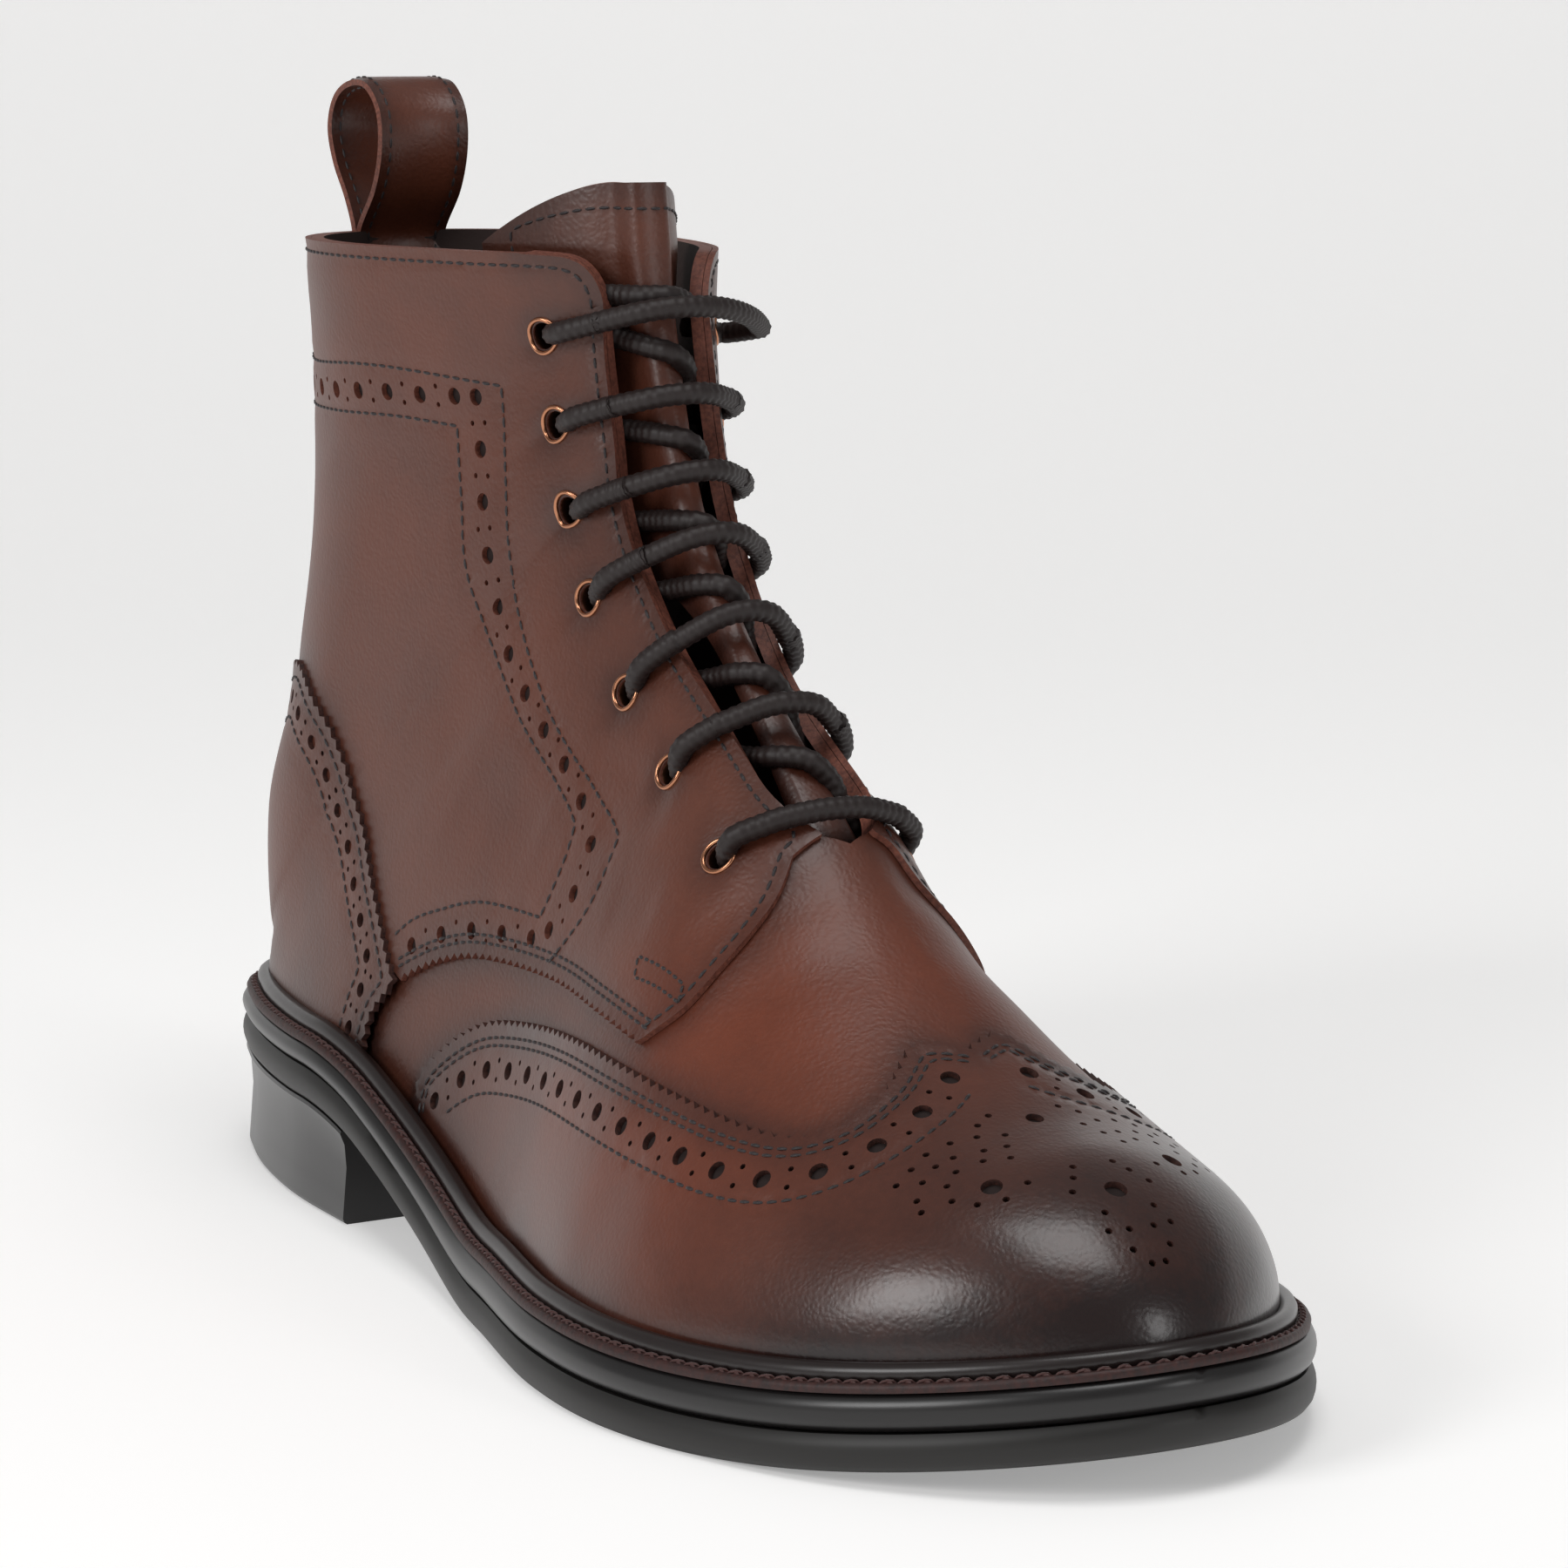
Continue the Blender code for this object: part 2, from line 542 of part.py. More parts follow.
def tongue(leather):
    rows = np.append(np.linspace(4.6, TOP_ROW, 16), [TOP_ROW, TOP_ROW])
    rise = np.append(np.zeros(16), [0.6, 1.0])
    across = np.linspace(0, 1, 6)
    reach = 0.10 + 0.26 * smooth((rows - 6.0) / 11.0)
    patches = []
    for side in (-1, 1):
        grid = np.broadcast_arrays(rows[:, None], 1 - reach[:, None] * across)
        points, normals, level, cells = patch(*grid, side)
        lift = TONGUE_RISE * rise[:, None] * (1 - across ** 2)
        lean = surface(TOP_ROW, 1.0, side) - surface(TOP_ROW - 0.5, 1.0, side)
        lean /= lean[2]
        patches.append((points + lift.reshape(-1, 1) * lean, normals, 0 * level > 0, cells))
    # the two upper rows meet the collar row at the tongue's edges
    top = -WALL - 2 * CLEARANCE
    skin("tongue", patches, top - TONGUE_THICKNESS, top, leather)


def eyelet_place(number, side):
    row = EYELET_ROWS[number]
    heights = np.linspace(throat_edge(row, side), 0.4, 80)
    points = surface(np.full(80, row), heights, side)
    run = np.append(0, np.cumsum(np.linalg.norm(np.diff(points, axis=0), axis=1)))
    height = float(np.interp(EYELET_INSET, run, heights))
    point = surface(row, height, side)
    return point, outward(row, height, side), abs(point[1] - centre_line(point[0]))


def eyelet(number, side, brass):
    point, normal, _ = eyelet_place(number, side)
    across = np.cross(normal, (0.0, 0.0, 1.0))
    across /= np.linalg.norm(across)
    up = np.cross(across, normal)
    count = 10
    foot = CLEARANCE * 2 + LEATHER
    middle = (EYELET_RADIUS + EYELET_HOLE) / 2
    rings = []
    for radius, lift in ((EYELET_HOLE, foot), (middle, foot + EYELET_HEIGHT), (EYELET_RADIUS, foot)):
        for k in range(count):
            angle = 2 * math.pi * k / count
            rings.append(point + normal * lift + radius * (across * math.cos(angle) + up * math.sin(angle)))
    faces = [[k * count + i, k * count + (i + 1) % count, (k + 1) % 3 * count + (i + 1) % count,
              (k + 1) % 3 * count + i] for k in range(3) for i in range(count)]
    name = "eyelet_{}_{}".format("lateral" if side < 0 else "medial", number + 1)
    solid(name, rings, faces, brass, angle=60)


def tube(name, path, radius, finish, sides=6, pivot=(0.0, 0.0, 0.0)):
    path = np.asarray(path)
    run = np.gradient(path, axis=0)
    run /= np.linalg.norm(run, axis=1)[:, None]
    side = np.cross(run[0], (0.0, 0.0, 1.0))
    points = []
    for at, along in zip(path, run):
        side = side - along * side.dot(along)
        side /= np.linalg.norm(side)
        up = np.cross(along, side)
        for k in range(sides):
            angle = 2 * math.pi * k / sides
            points.append(at + radius * (side * math.cos(angle) + up * math.sin(angle)))
    last = len(points) - sides
    faces = [[k + i, k + (i + 1) % sides, k + sides + (i + 1) % sides, k + sides + i]
             for k in range(0, last, sides) for i in range(sides)]
    faces += [list(range(sides))[::-1], list(range(last, last + sides))]
    return solid(name, points, faces, finish, pivot, angle=70)


def over_throat(offsets, rows, lift):
    # points over the throat, offset from its centre line, in a straight line along the throat between the
    # first and the last offset, which lie at the first and the last row
    ends = []
    for offset, row in ((offsets[0], rows[0]), (offsets[-1], rows[-1])):
        side = -1 if offset < 0 else 1
        ends.append(surface(row, height_at(row, abs(offset), side), side))
    middle = sum(rows) / 2
    along = surface(middle + 0.5, 1.0, 1) - surface(middle - 0.5, 1.0, 1)
    along /= np.linalg.norm(along)
    near = np.linspace(max(min(rows) - 2.5, 0.5), max(rows) + 1.0, 15)
    path = []
    for share, offset in zip(np.linspace(0, 1, len(offsets)), offsets):
        side = -1 if offset < 0 else 1
        points = np.array([surface(row, height_at(row, abs(offset), side), side) for row in near])
        reached = ends[0].dot(along) * (1 - share) + ends[1].dot(along) * share
        row = float(np.interp(reached, points @ along, near))
        height = height_at(row, abs(offset), side)
        path.append(surface(row, height, side) + lift * outward(row, height, side))
    return path


def laces(cord):
    lift = LEATHER + EYELET_HEIGHT + 3 * CLEARANCE + LACE_RADIUS + 0.0002
    for number in range(EYELET_PAIRS):
        rows = [EYELET_ROWS[number]] * 2
        reach = [eyelet_place(number, side)[2] for side in (-1, 1)]
        offsets = np.linspace(-reach[0], reach[1], 9)
        tube("lace_bar_{}".format(number + 1), over_throat(offsets, rows, lift), LACE_RADIUS, cord)
    inside = HALF_GAP - LACE_RADIUS - 3 * CLEARANCE
    lift = LACE_RADIUS - WALL - CLEARANCE
    for number in range(EYELET_PAIRS - 1):
        rows = (EYELET_ROWS[number] - 0.25, EYELET_ROWS[number + 1] + 0.15)
        path = over_throat(np.linspace(-inside, inside, 5), rows, lift)
        tube("lace_cross_{}".format(number + 1), path, LACE_RADIUS, cord)


def pull_loop(leather):
    profile = np.array(LOOP_PROFILE) * LOOP_HEIGHT
    base = surface(TOP_ROW, 0.0, -1) + (WALL / 2 - LEATHER / 2, 0.0, CLEARANCE)
    across = np.linspace(-LOOP_WIDTH / 2, LOOP_WIDTH / 2, 5)
    edge = surface(np.full(60, TOP_ROW), np.linspace(0, 0.4, 60), -1)
    bend = np.interp(np.abs(across), np.abs(edge[:, 1] - base[1]), edge[:, 0]) - edge[0, 0]
    points = np.empty((len(profile), len(across), 3))
    points[..., 0] = base[0] + profile[:, :1] + bend
    points[..., 1] = base[1] + across
    points[..., 2] = base[2] + profile[:, 1:]
    along = np.gradient(points, axis=0)
    normals = np.cross(np.gradient(points, axis=1), along)
    normals /= np.linalg.norm(normals, axis=-1, keepdims=True)
    level = np.zeros(points.shape[:2], bool)
    level[[0, -1]] = True
    half = LOOP_THICKNESS / 2
    sheet = (points.reshape(-1, 3), normals.reshape(-1, 3), level.ravel(), quads(level.size, len(across)))
    skin("pull_loop", [sheet], -half, half, leather)


def zip_frame():
    # origin on the upper under the slider's middle, with its across, up and out directions
    rows = np.linspace(ZIP_FOOT_ROW, TOP_ROW, 60)
    line = np.array([surface(row, zip_height(row), 1) for row in rows])
    level = COLLAR_HEIGHT - 0.75 * SLIDER_LENGTH
    row = float(np.interp(level, line[:, 2], rows))
    height = zip_height(row)
    out = outward(row, height, 1) * (1, 1, 0)
    out /= np.linalg.norm(out)
    up = np.array((0.0, 0.0, 1.0))
    return surface(row, height, 1), np.cross(up, out), up, out


def plate(at, right, up, out, outline, half, hole=()):
    # corners and faces of an outline given along right and up, thickened by half to both sides along out,
    # with a hole of as many corners
    points = [at + right * x + up * y + out * z for z in (-half, half) for x, y in (*outline, *hole)]
    count = len(outline)
    level = count + len(hole)
    around = [(i, (i + 1) % count) for i in range(count)]
    faces = [[a, b, b + level, a + level] for a, b in around]
    if hole:
        faces += [[count + b, count + a, count + a + level, count + b + level] for a, b in around]
        faces += [[z + a, z + b, z + count + b, z + count + a] for z in (0, level) for a, b in around]
    else:
        faces += [list(range(count))[::-1], list(range(level, level + count))]
    return points, faces


def zip_parts(metal, tape):
    rows = np.linspace(ZIP_FOOT_ROW + 0.05, TOP_ROW, 16)
    half = np.array([zip_half(row, ZIP_CHAIN_WIDTH) for row in rows])
    middle = np.array([zip_height(row) for row in rows])
    grid = np.broadcast_arrays(rows[:, None], middle[:, None] + half[:, None] * np.array([-1.0, 0.0, 1.0]))
    skin("zip_chain", [patch(*grid, 1)], CLEARANCE, CLEARANCE + ZIP_CHAIN_THICKNESS, tape)
    frame = zip_frame()
    seat = 2 * CLEARANCE + ZIP_CHAIN_THICKNESS + 0.0003
    top = seat + SLIDER_THICKNESS
    wide = ZIP_CHAIN_WIDTH / 2
    tall = SLIDER_LENGTH / 2
    at, across, up, out = frame
    leg = BRIDGE_LEG
    reach = tall - leg
    ridge = top + BRIDGE_HEIGHT
    body = plate(at + out * (seat + top) / 2, across, up, out,
                 ((-wide, -tall), (wide, -tall), (wide, tall), (-wide, tall)), SLIDER_THICKNESS / 2)
    foot = top - leg / 2
    arch = plate(at, up, out, across, ((-reach, foot), (leg - reach, foot), (leg - reach, ridge - leg),
                                       (reach - leg, ridge - leg), (reach - leg, foot), (reach, foot),
                                       (reach, ridge), (-reach, ridge)), leg)
    slider = solid("zip_slider", *body, metal)
    bridge = solid("bridge_of_the_slider", *arch, metal)
    bridge.hide_render = True
    bridge.display_type = "WIRE"
    union = slider.modifiers.new("bridge", "BOOLEAN")
    union.operation = "UNION"
    union.solver = "EXACT"
    union.object = bridge
    pin = at + up * (reach - leg - WIRE_RADIUS - CLEARANCE) + out * (top + WIRE_RADIUS + 2 * CLEARANCE)
    inner = leg + 2 * CLEARANCE
    side = inner + 2 * WIRE_RADIUS
    foot = -PULL_LINK
    outline = ((-side, foot - PULL_TAB), (side, foot - PULL_TAB), (side, WIRE_RADIUS), (-side, WIRE_RADIUS))
    hole = ((-inner, foot), (inner, foot), (inner, -WIRE_RADIUS), (-inner, -WIRE_RADIUS))
    solid("zip_pull", *plate(pin, across, up, out, outline, WIRE_RADIUS, hole), metal, pin)


def build():
    for old in list(bpy.data.objects):
        bpy.data.objects.remove(old)
    calf = material("burnished calf", (0.125, 0.037, 0.017), 0.38)
    calf_dark = material("dark burnished calf", (0.075, 0.020, 0.011), 0.34)
    welt_leather = material("welt leather", (0.100, 0.022, 0.012), 0.55)
    rubber = material("black rubber", (0.012, 0.011, 0.011), 0.50)
    lining = material("lining leather", (0.045, 0.022, 0.015), 0.70)
    brass = material("antique brass", (0.420, 0.220, 0.110), 0.30, 1.0)
    cord = material("waxed cord", (0.020, 0.012, 0.009), 0.60)
    tape = material("zip coil", (0.010, 0.010, 0.010), 0.50)
    gunmetal = material("gunmetal", (0.060, 0.058, 0.058), 0.35, 1.0)
    sole(rubber, welt_leather, lining)
    upper(calf)
    toe_cap(calf_dark)
    counter(calf)
    quarter(-1, calf)
    quarter(1, calf)
    tongue(calf)
    pull_loop(calf)
    for number in range(EYELET_PAIRS):
        eyelet(number, -1, brass)
        eyelet(number, 1, brass)
    laces(cord)
    zip_parts(gunmetal, tape)


build()
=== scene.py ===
import math

import bpy
import numpy as np
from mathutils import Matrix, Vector
from mathutils.geometry import delaunay_2d_cdt
from mathutils.kdtree import KDTree


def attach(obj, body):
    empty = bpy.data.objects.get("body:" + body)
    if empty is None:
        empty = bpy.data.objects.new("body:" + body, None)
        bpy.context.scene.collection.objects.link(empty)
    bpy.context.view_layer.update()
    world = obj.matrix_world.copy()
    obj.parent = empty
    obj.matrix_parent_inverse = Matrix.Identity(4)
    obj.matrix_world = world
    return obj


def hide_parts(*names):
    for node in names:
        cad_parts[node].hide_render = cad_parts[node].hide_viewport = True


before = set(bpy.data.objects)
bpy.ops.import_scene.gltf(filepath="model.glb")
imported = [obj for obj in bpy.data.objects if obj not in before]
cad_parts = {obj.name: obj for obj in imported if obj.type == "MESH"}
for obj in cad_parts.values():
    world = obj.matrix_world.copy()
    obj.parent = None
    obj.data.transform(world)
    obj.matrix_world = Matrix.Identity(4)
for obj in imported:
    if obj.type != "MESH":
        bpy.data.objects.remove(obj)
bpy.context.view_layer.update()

# Sizes of the boot in metres, before it is moved over the frame's origin: x from heel to toe, -y outer side
boot = {
    "length": 0.305, "ballWidth": 0.112, "heelWidth": 0.0755, "heelHeight": 0.020, "heelLength": 0.088,
    "soleAtHeel": 0.0103, "soleAtBall": 0.0120, "outsole": 0.0060, "toeSpring": 0.008, "toeSwing": 0.0045,
    "featherInset": 0.0072, "collarHeight": 0.177, "collarWidth": 0.070, "wall": 0.0022,
    "halfGap": 0.0090, "corner": 0.0095, "nose": 0.030, "clear": 0.0003, "lace": 0.0018,
    "eyeletInset": 0.0130, "eyeletHole": 0.0024, "eyeletRing": 0.0030,
}
soleShape = (  # along the length, outer and inner half width
    (0.000, 0.000, 0.000), (0.026, 0.310, 0.310), (0.092, 0.440, 0.455), (0.197, 0.522, 0.478),
    (0.311, 0.520, 0.425), (0.426, 0.462, 0.375), (0.541, 0.455, 0.395), (0.656, 0.504, 0.470),
    (0.754, 0.500, 0.491), (0.859, 0.406, 0.455), (0.934, 0.268, 0.345), (0.984, 0.110, 0.195),
)
# Each section: low x, low z, high x, high z, outer width, inner width, round, crown, outer and inner taper
sections = np.array((
    (1.000, 0.000, 1.000, 0.240, 1.00, 1.00, 0.30, 2.30, 0.00, 0.00),
    (0.930, 0.000, 0.930, 0.248, 1.02, 1.02, 0.30, 2.30, 0.02, 0.02),
    (0.870, 0.000, 0.870, 0.264, 1.02, 1.03, 0.30, 2.20, 0.05, 0.05),
    (0.800, 0.000, 0.802, 0.306, 1.02, 1.03, 0.30, 2.10, 0.12, 0.12),
    (0.740, 0.000, 0.744, 0.364, 1.01, 1.02, 0.30, 2.00, 0.22, 0.22),
    (0.680, 0.000, 0.688, 0.438, 1.00, 1.01, 0.30, 2.00, 0.32, 0.32),
    (0.620, 0.000, 0.640, 0.518, 1.00, 1.00, 0.30, 2.00, 0.38, 0.36),
    (0.550, 0.000, 0.598, 0.578, 1.00, 1.00, 0.30, 2.00, 0.40, 0.36),
    (0.470, 0.000, 0.564, 0.630, 0.98, 1.01, 0.30, 2.20, 0.42, 0.36),
    (0.380, 0.000, 0.536, 0.677, 0.94, 0.99, 0.30, 2.40, 0.42, 0.34),
    (0.280, 0.000, 0.513, 0.720, 0.92, 0.95, 0.30, 2.60, 0.40, 0.32),
    (0.170, 0.000, 0.496, 0.760, 0.91, 0.94, 0.30, 2.80, 0.38, 0.30),
    (0.080, 0.000, 0.486, 0.795, 0.90, 0.94, 0.30, 3.00, 0.36, 0.28),
    (0.000, 0.000, 0.480, 0.822, 0.91, 0.97, 0.30, 3.20, 0.34, 0.26),
    (-0.006, 0.300, 0.474, 0.850, 0.92, 0.96, 0.34, 3.30, 0.32, 0.25),
    (0.016, 0.440, 0.467, 0.888, 0.88, 0.94, 0.40, 3.30, 0.30, 0.24),
    (0.045, 0.630, 0.460, 0.928, 0.86, 0.93, 0.46, 3.20, 0.28, 0.22),
    (0.062, 0.800, 0.454, 0.965, 0.92, 0.96, 0.50, 3.20, 0.25, 0.22),
    (0.074, 1.000, 0.451, 1.000, 1.00, 1.00, 0.50, 3.20, 0.22, 0.22),
))
heelRow, topRow, throatRow, cornerRow = 13, 18, 5.4, 16.8


def smooth(share):
    share = np.clip(share, 0.0, 1.0)
    return share * share * (3.0 - 2.0 * share)


def steady(x, xs, ys):  # a curve through the rows of a table that never overshoots them
    xs, ys = np.asarray(xs, float), np.asarray(ys, float)
    step = np.diff(xs)
    rise = np.diff(ys) / step
    slope = np.zeros(len(xs))
    for i in range(1, len(xs) - 1):
        if rise[i - 1] * rise[i] > 0:
            slope[i] = 2 * rise[i - 1] * rise[i] / (rise[i - 1] + rise[i])
    i = np.clip(np.searchsorted(xs, x) - 1, 0, len(step) - 1)
    t = np.clip((x - xs[i]) / step[i], 0.0, 1.0)
    low = ys[i] * (1 + 2 * t) * (1 - t) ** 2 + step[i] * slope[i] * t * (1 - t) ** 2
    return low + ys[i + 1] * t * t * (3 - 2 * t) + step[i] * slope[i + 1] * t * t * (t - 1)


def rounded(points, count, closed=True):  # a smooth curve through points, count steps between two of them
    points = np.asarray(points, float)
    total = len(points)
    ring = []
    for i in range(total if closed else total - 1):
        a, b, c, d = (points[(i + k) % total if closed else min(max(i + k, 0), total - 1)]
                      for k in (-1, 0, 1, 2))
        for t in np.arange(count) / count:
            ring.append(0.5 * (2 * b + (c - a) * t + (2 * a - 5 * b + 4 * c - d) * t * t
                               + (3 * b - a - 3 * c + d) * t ** 3))
    return np.array(ring if closed else ring + [points[-1]])


def runLength(points):  # how far along a line each of its points lies
    return np.append(0, np.cumsum(np.linalg.norm(np.diff(points, axis=0), axis=1)))


def sampled(points, run, at):  # places along a line, by how far along it they lie
    return np.column_stack([np.interp(at, run, column) for column in points.T])


def bands(levels, sides, closed=False):  # four-sided faces between rings of points, one ring after another
    return [[k * sides + i, k * sides + (i + 1) % sides, (k + 1) % levels * sides + (i + 1) % sides,
             (k + 1) % levels * sides + i]
            for k in range(levels if closed else levels - 1) for i in range(sides)]


def soleOutline(count=24):
    along, outer, inner = np.array(soleShape).T
    width = boot["heelWidth"] + (boot["ballWidth"] - boot["heelWidth"]) * smooth((along - 0.25) / 0.35)
    lateral = list(zip(along * boot["length"], -outer * width))
    medial = list(zip(along * boot["length"], inner * width))
    return rounded(lateral + [(boot["length"], boot["toeSwing"])] + medial[:0:-1], count)


def inset(loop, distance):
    run = np.roll(loop, -1, axis=0) - np.roll(loop, 1, axis=0)
    run /= np.linalg.norm(run, axis=1)[:, None]
    return loop + distance * np.stack([-run[:, 1], run[:, 0]], axis=1)


def halves(loop):
    loop = np.roll(loop, -loop[:, 0].argmin(), axis=0)
    tip = loop[:, 0].argmax()
    return loop[:tip + 1], np.vstack([loop[tip:], loop[:1]])[::-1]


outerLoop = soleOutline()
featherOuter, featherInner = halves(inset(outerLoop, boot["featherInset"]))
back, backY = featherOuter[0]
tip, tipY = featherOuter[-1]
reach = tip - back
coarseLoop = soleOutline(12)
origin = np.append((coarseLoop.min(axis=0) + coarseLoop.max(axis=0)) / 2, 0.0)


def soleTop(x):
    heel = boot["heelHeight"] + boot["soleAtHeel"]
    arch = smooth((x / boot["length"] - 0.22) / 0.31)
    spring = boot["toeSpring"] * np.clip((x / boot["length"] - 0.77) / 0.23, 0, 1) ** 2
    return heel + (boot["soleAtBall"] - heel) * arch + spring


def soleBottom(x):
    arch = smooth((x / boot["length"] - 0.22) / 0.31)
    return soleTop(x) - boot["soleAtHeel"] - (boot["soleAtBall"] - boot["soleAtHeel"]) * arch


def centreLine(x):
    return backY + (tipY - backY) * np.clip((x - back) / reach, 0, 1)


def featherHalf(x, side):
    edge = featherOuter if side < 0 else featherInner
    return np.maximum(side * (np.interp(x, edge[:, 0], edge[:, 1]) - centreLine(x)), 0.0)


def surface(row, height, side):  # the upper's outside: rows 0 toe to 18 collar, height 0 sole edge to 1 ridge
    row = np.asarray(row, float)
    k = np.arange(len(sections))
    _, _, highShare, highLevel, outer, inner, ease, crown, taper, innerTaper = (
        steady(row, k, column) for column in sections.T)
    width, taper = (outer, taper) if side < 0 else (inner, innerTaper)
    lowShare = np.where(
        row <= heelRow, steady(np.minimum(row, heelRow), k[:heelRow + 1], sections[:heelRow + 1, 0]),
        steady(np.maximum(row, heelRow), k[heelRow:], sections[heelRow:, 0]))
    lowX, highX = back + lowShare * reach, back + highShare * reach
    heelLevel = np.append((soleTop(back) + boot["clear"]) / boot["collarHeight"], sections[heelRow + 1:, 1])
    heelZ = steady(np.maximum(row, heelRow), k[heelRow:], heelLevel) * boot["collarHeight"]
    lowZ = np.where(row <= heelRow, soleTop(lowX) + boot["clear"], heelZ)
    closing = np.sqrt(1 - (1 - np.clip((tip - highX) / boot["nose"], 0, 1)) ** 2)
    seat = soleTop(highX) + boot["clear"]
    highZ = seat + (highLevel * boot["collarHeight"] - seat) * closing
    f = (1 - np.cos(np.pi * height)) / 2
    foot = np.where(row < heelRow, featherHalf(lowX, side), 0.0)
    shaft = smooth((row - 6.5) / 5.5)
    waist = featherHalf(np.maximum(lowX, back + 0.10 * boot["length"]), side)
    half = ((1 - shaft) * waist + shaft * boot["collarWidth"] / 2) * width
    start = np.clip(foot / np.maximum(half, 1e-9), 0, 1)
    nearFoot = np.clip(1 - f / ease, 0, 1) ** 2
    wide = half * np.sqrt(1 - (1 - start ** 2) * nearFoot) + np.maximum(foot - half, 0) * nearFoot
    x = lowX + (highX - lowX) * f
    y = centreLine(x) + side * wide * np.sqrt(np.clip(1 - f ** crown, 0, 1)) * (1 - taper * f)
    return np.stack([x, y, lowZ + (highZ - lowZ) * f], axis=-1)


def facing(row, height, side):  # outward direction of one side
    step = 0.02
    row = np.clip(row, 0.15, topRow - step)
    height = np.clip(height, 0.03, 0.97)
    along = surface(row + step, height, side) - surface(row - step, height, side)
    around = surface(row, height + step, side) - surface(row, height - step, side)
    normal = np.cross(along, around) * side
    return normal / np.linalg.norm(normal, axis=-1, keepdims=True)


# A place on the upper is (row, q): q is -1 at the outer sole edge, 0 on the ridge, 1 at the inner sole edge
def outward(chart):
    row, q = chart[:, 0], chart[:, 1]
    height = 1 - np.abs(q)
    outer, inner = facing(row, height, -1), facing(row, height, 1)
    seam = np.clip(1 - (1 - height) / 0.03, 0, 1)
    seam = np.maximum(seam, np.where(row > heelRow, np.clip(1 - height / 0.03, 0, 1), 0.0))[:, None] / 2
    share = np.where(q[:, None] < 0, seam, 1 - seam)
    normal = outer * (1 - share) + inner * share
    return normal / np.linalg.norm(normal, axis=1)[:, None]


def bare(chart):
    row, q = chart[:, 0], chart[:, 1]
    height = 1 - np.abs(q)
    return np.where(q[:, None] < 0, surface(row, height, -1), surface(row, height, 1))


fineRows = np.linspace(0, topRow, 1801)
lines = [np.linalg.norm(np.diff(surface(fineRows, h, -1), axis=0), axis=1) for h in (0.0, 0.3, 0.6, 1.0)]
rowRun = np.append(0, np.cumsum(np.mean(lines, axis=0)))  # metres along the boot for each row
girth = 0.105


def flat(chart):  # roughly true lengths, for spacing and triangles
    return np.column_stack([np.interp(chart[:, 0], fineRows, rowRun), chart[:, 1] * girth])


# Creases and soft hollows: first and last place as (row, height), half width, depth, both in metres
creases = (
    ((8.6, 0.585), (7.3, 0.70), 0.0030, 0.00050), ((9.3, 0.62), (8.0, 0.69), 0.0022, 0.00040),
    ((7.6, 0.555), (6.6, 0.62), 0.0040, 0.00045), ((5.9, 0.60), (4.9, 0.93), 0.0045, 0.00060),
    ((4.9, 0.60), (4.3, 0.95), 0.0060, 0.00050), ((13.2, 0.10), (11.6, 0.50), 0.0090, 0.00080),
    ((15.2, 0.20), (13.2, 0.52), 0.0120, 0.00090), ((16.5, 0.45), (12.5, 0.57), 0.0140, 0.00070),
    ((10.8, 0.48), (9.4, 0.54), 0.0060, 0.00060), ((12.4, 0.60), (11.2, 0.50), 0.0070, 0.00050),
    ((17.6, 0.30), (16.4, 0.36), 0.0080, 0.00050),
)


def relief(chart):
    at = flat(chart)
    height = np.zeros(len(at))
    for first, last, width, depth in creases:
        for side in (-1, 1):
            a, b = flat(np.array([(row, side * (1 - h)) for row, h in (first, last)]))
            run = b - a
            share = np.clip((at - a) @ run / (run @ run), 0, 1)
            away = np.linalg.norm(at - a - share[:, None] * run, axis=1)
            ends = np.clip(1 - np.abs(2 * share - 1) ** 4, 0.15, 1)
            height -= depth * ends * np.exp(-(away / width) ** 2)
    for place in eyeletCharts:  # the leather is drawn in round each eyelet
        away = np.linalg.norm(at - flat(place[None]), axis=1)
        height -= 0.0007 * np.exp(-(away / 0.0042) ** 2)
    return height


def place(chart, lift=0.0):
    chart = np.atleast_2d(chart)
    normal = outward(chart)
    level = (np.abs(chart[:, 1]) >= 1 - 1e-6) & (chart[:, 0] <= heelRow)
    normal[level | (chart[:, 0] >= topRow - 1e-6), 2] = 0
    normal /= np.linalg.norm(normal, axis=1)[:, None]
    return bare(chart) + normal * (np.asarray(lift) + relief(chart))[:, None]


def throatGap(row):
    opening = np.sqrt(1 - (1 - np.clip(row - throatRow, 0, 1)) ** 2)
    corner = np.clip((row - cornerRow) / (topRow - cornerRow), 0, 1)
    return boot["halfGap"] * opening + boot["corner"] * (1 - np.sqrt(1 - corner ** 2))


def heightAt(row, offset, side):
    heights = np.linspace(0.5, 1.0, 201)
    points = surface(np.full(201, row), heights, side)
    offsets = side * (points[:, 1] - centreLine(points[:, 0]))
    return float(np.interp(-offset, -offsets, heights))


def throatEdge(row, side):
    return 1.0 if row <= throatRow else heightAt(row, float(throatGap(row)), side)


def eyeletHeight(row, side):
    heights = np.linspace(throatEdge(row, side), 0.4, 120)
    points = surface(np.full(120, row), heights, side)
    return float(np.interp(boot["eyeletInset"], runLength(points), heights))


eyeletRows = (16.6, 15.05, 13.2, 11.0, 9.3, 7.75, 6.15)
eyeletCharts = [np.array([row, side * (1 - eyeletHeight(row, side))])
                for side in (-1, 1) for row in eyeletRows]


# Colours and materials
def linear(code):
    parts = [int(code[i:i + 2], 16) / 255 for i in (1, 3, 5)]
    return (*[c / 12.92 if c <= 0.04045 else ((c + 0.055) / 1.055) ** 2.4 for c in parts], 1.0)


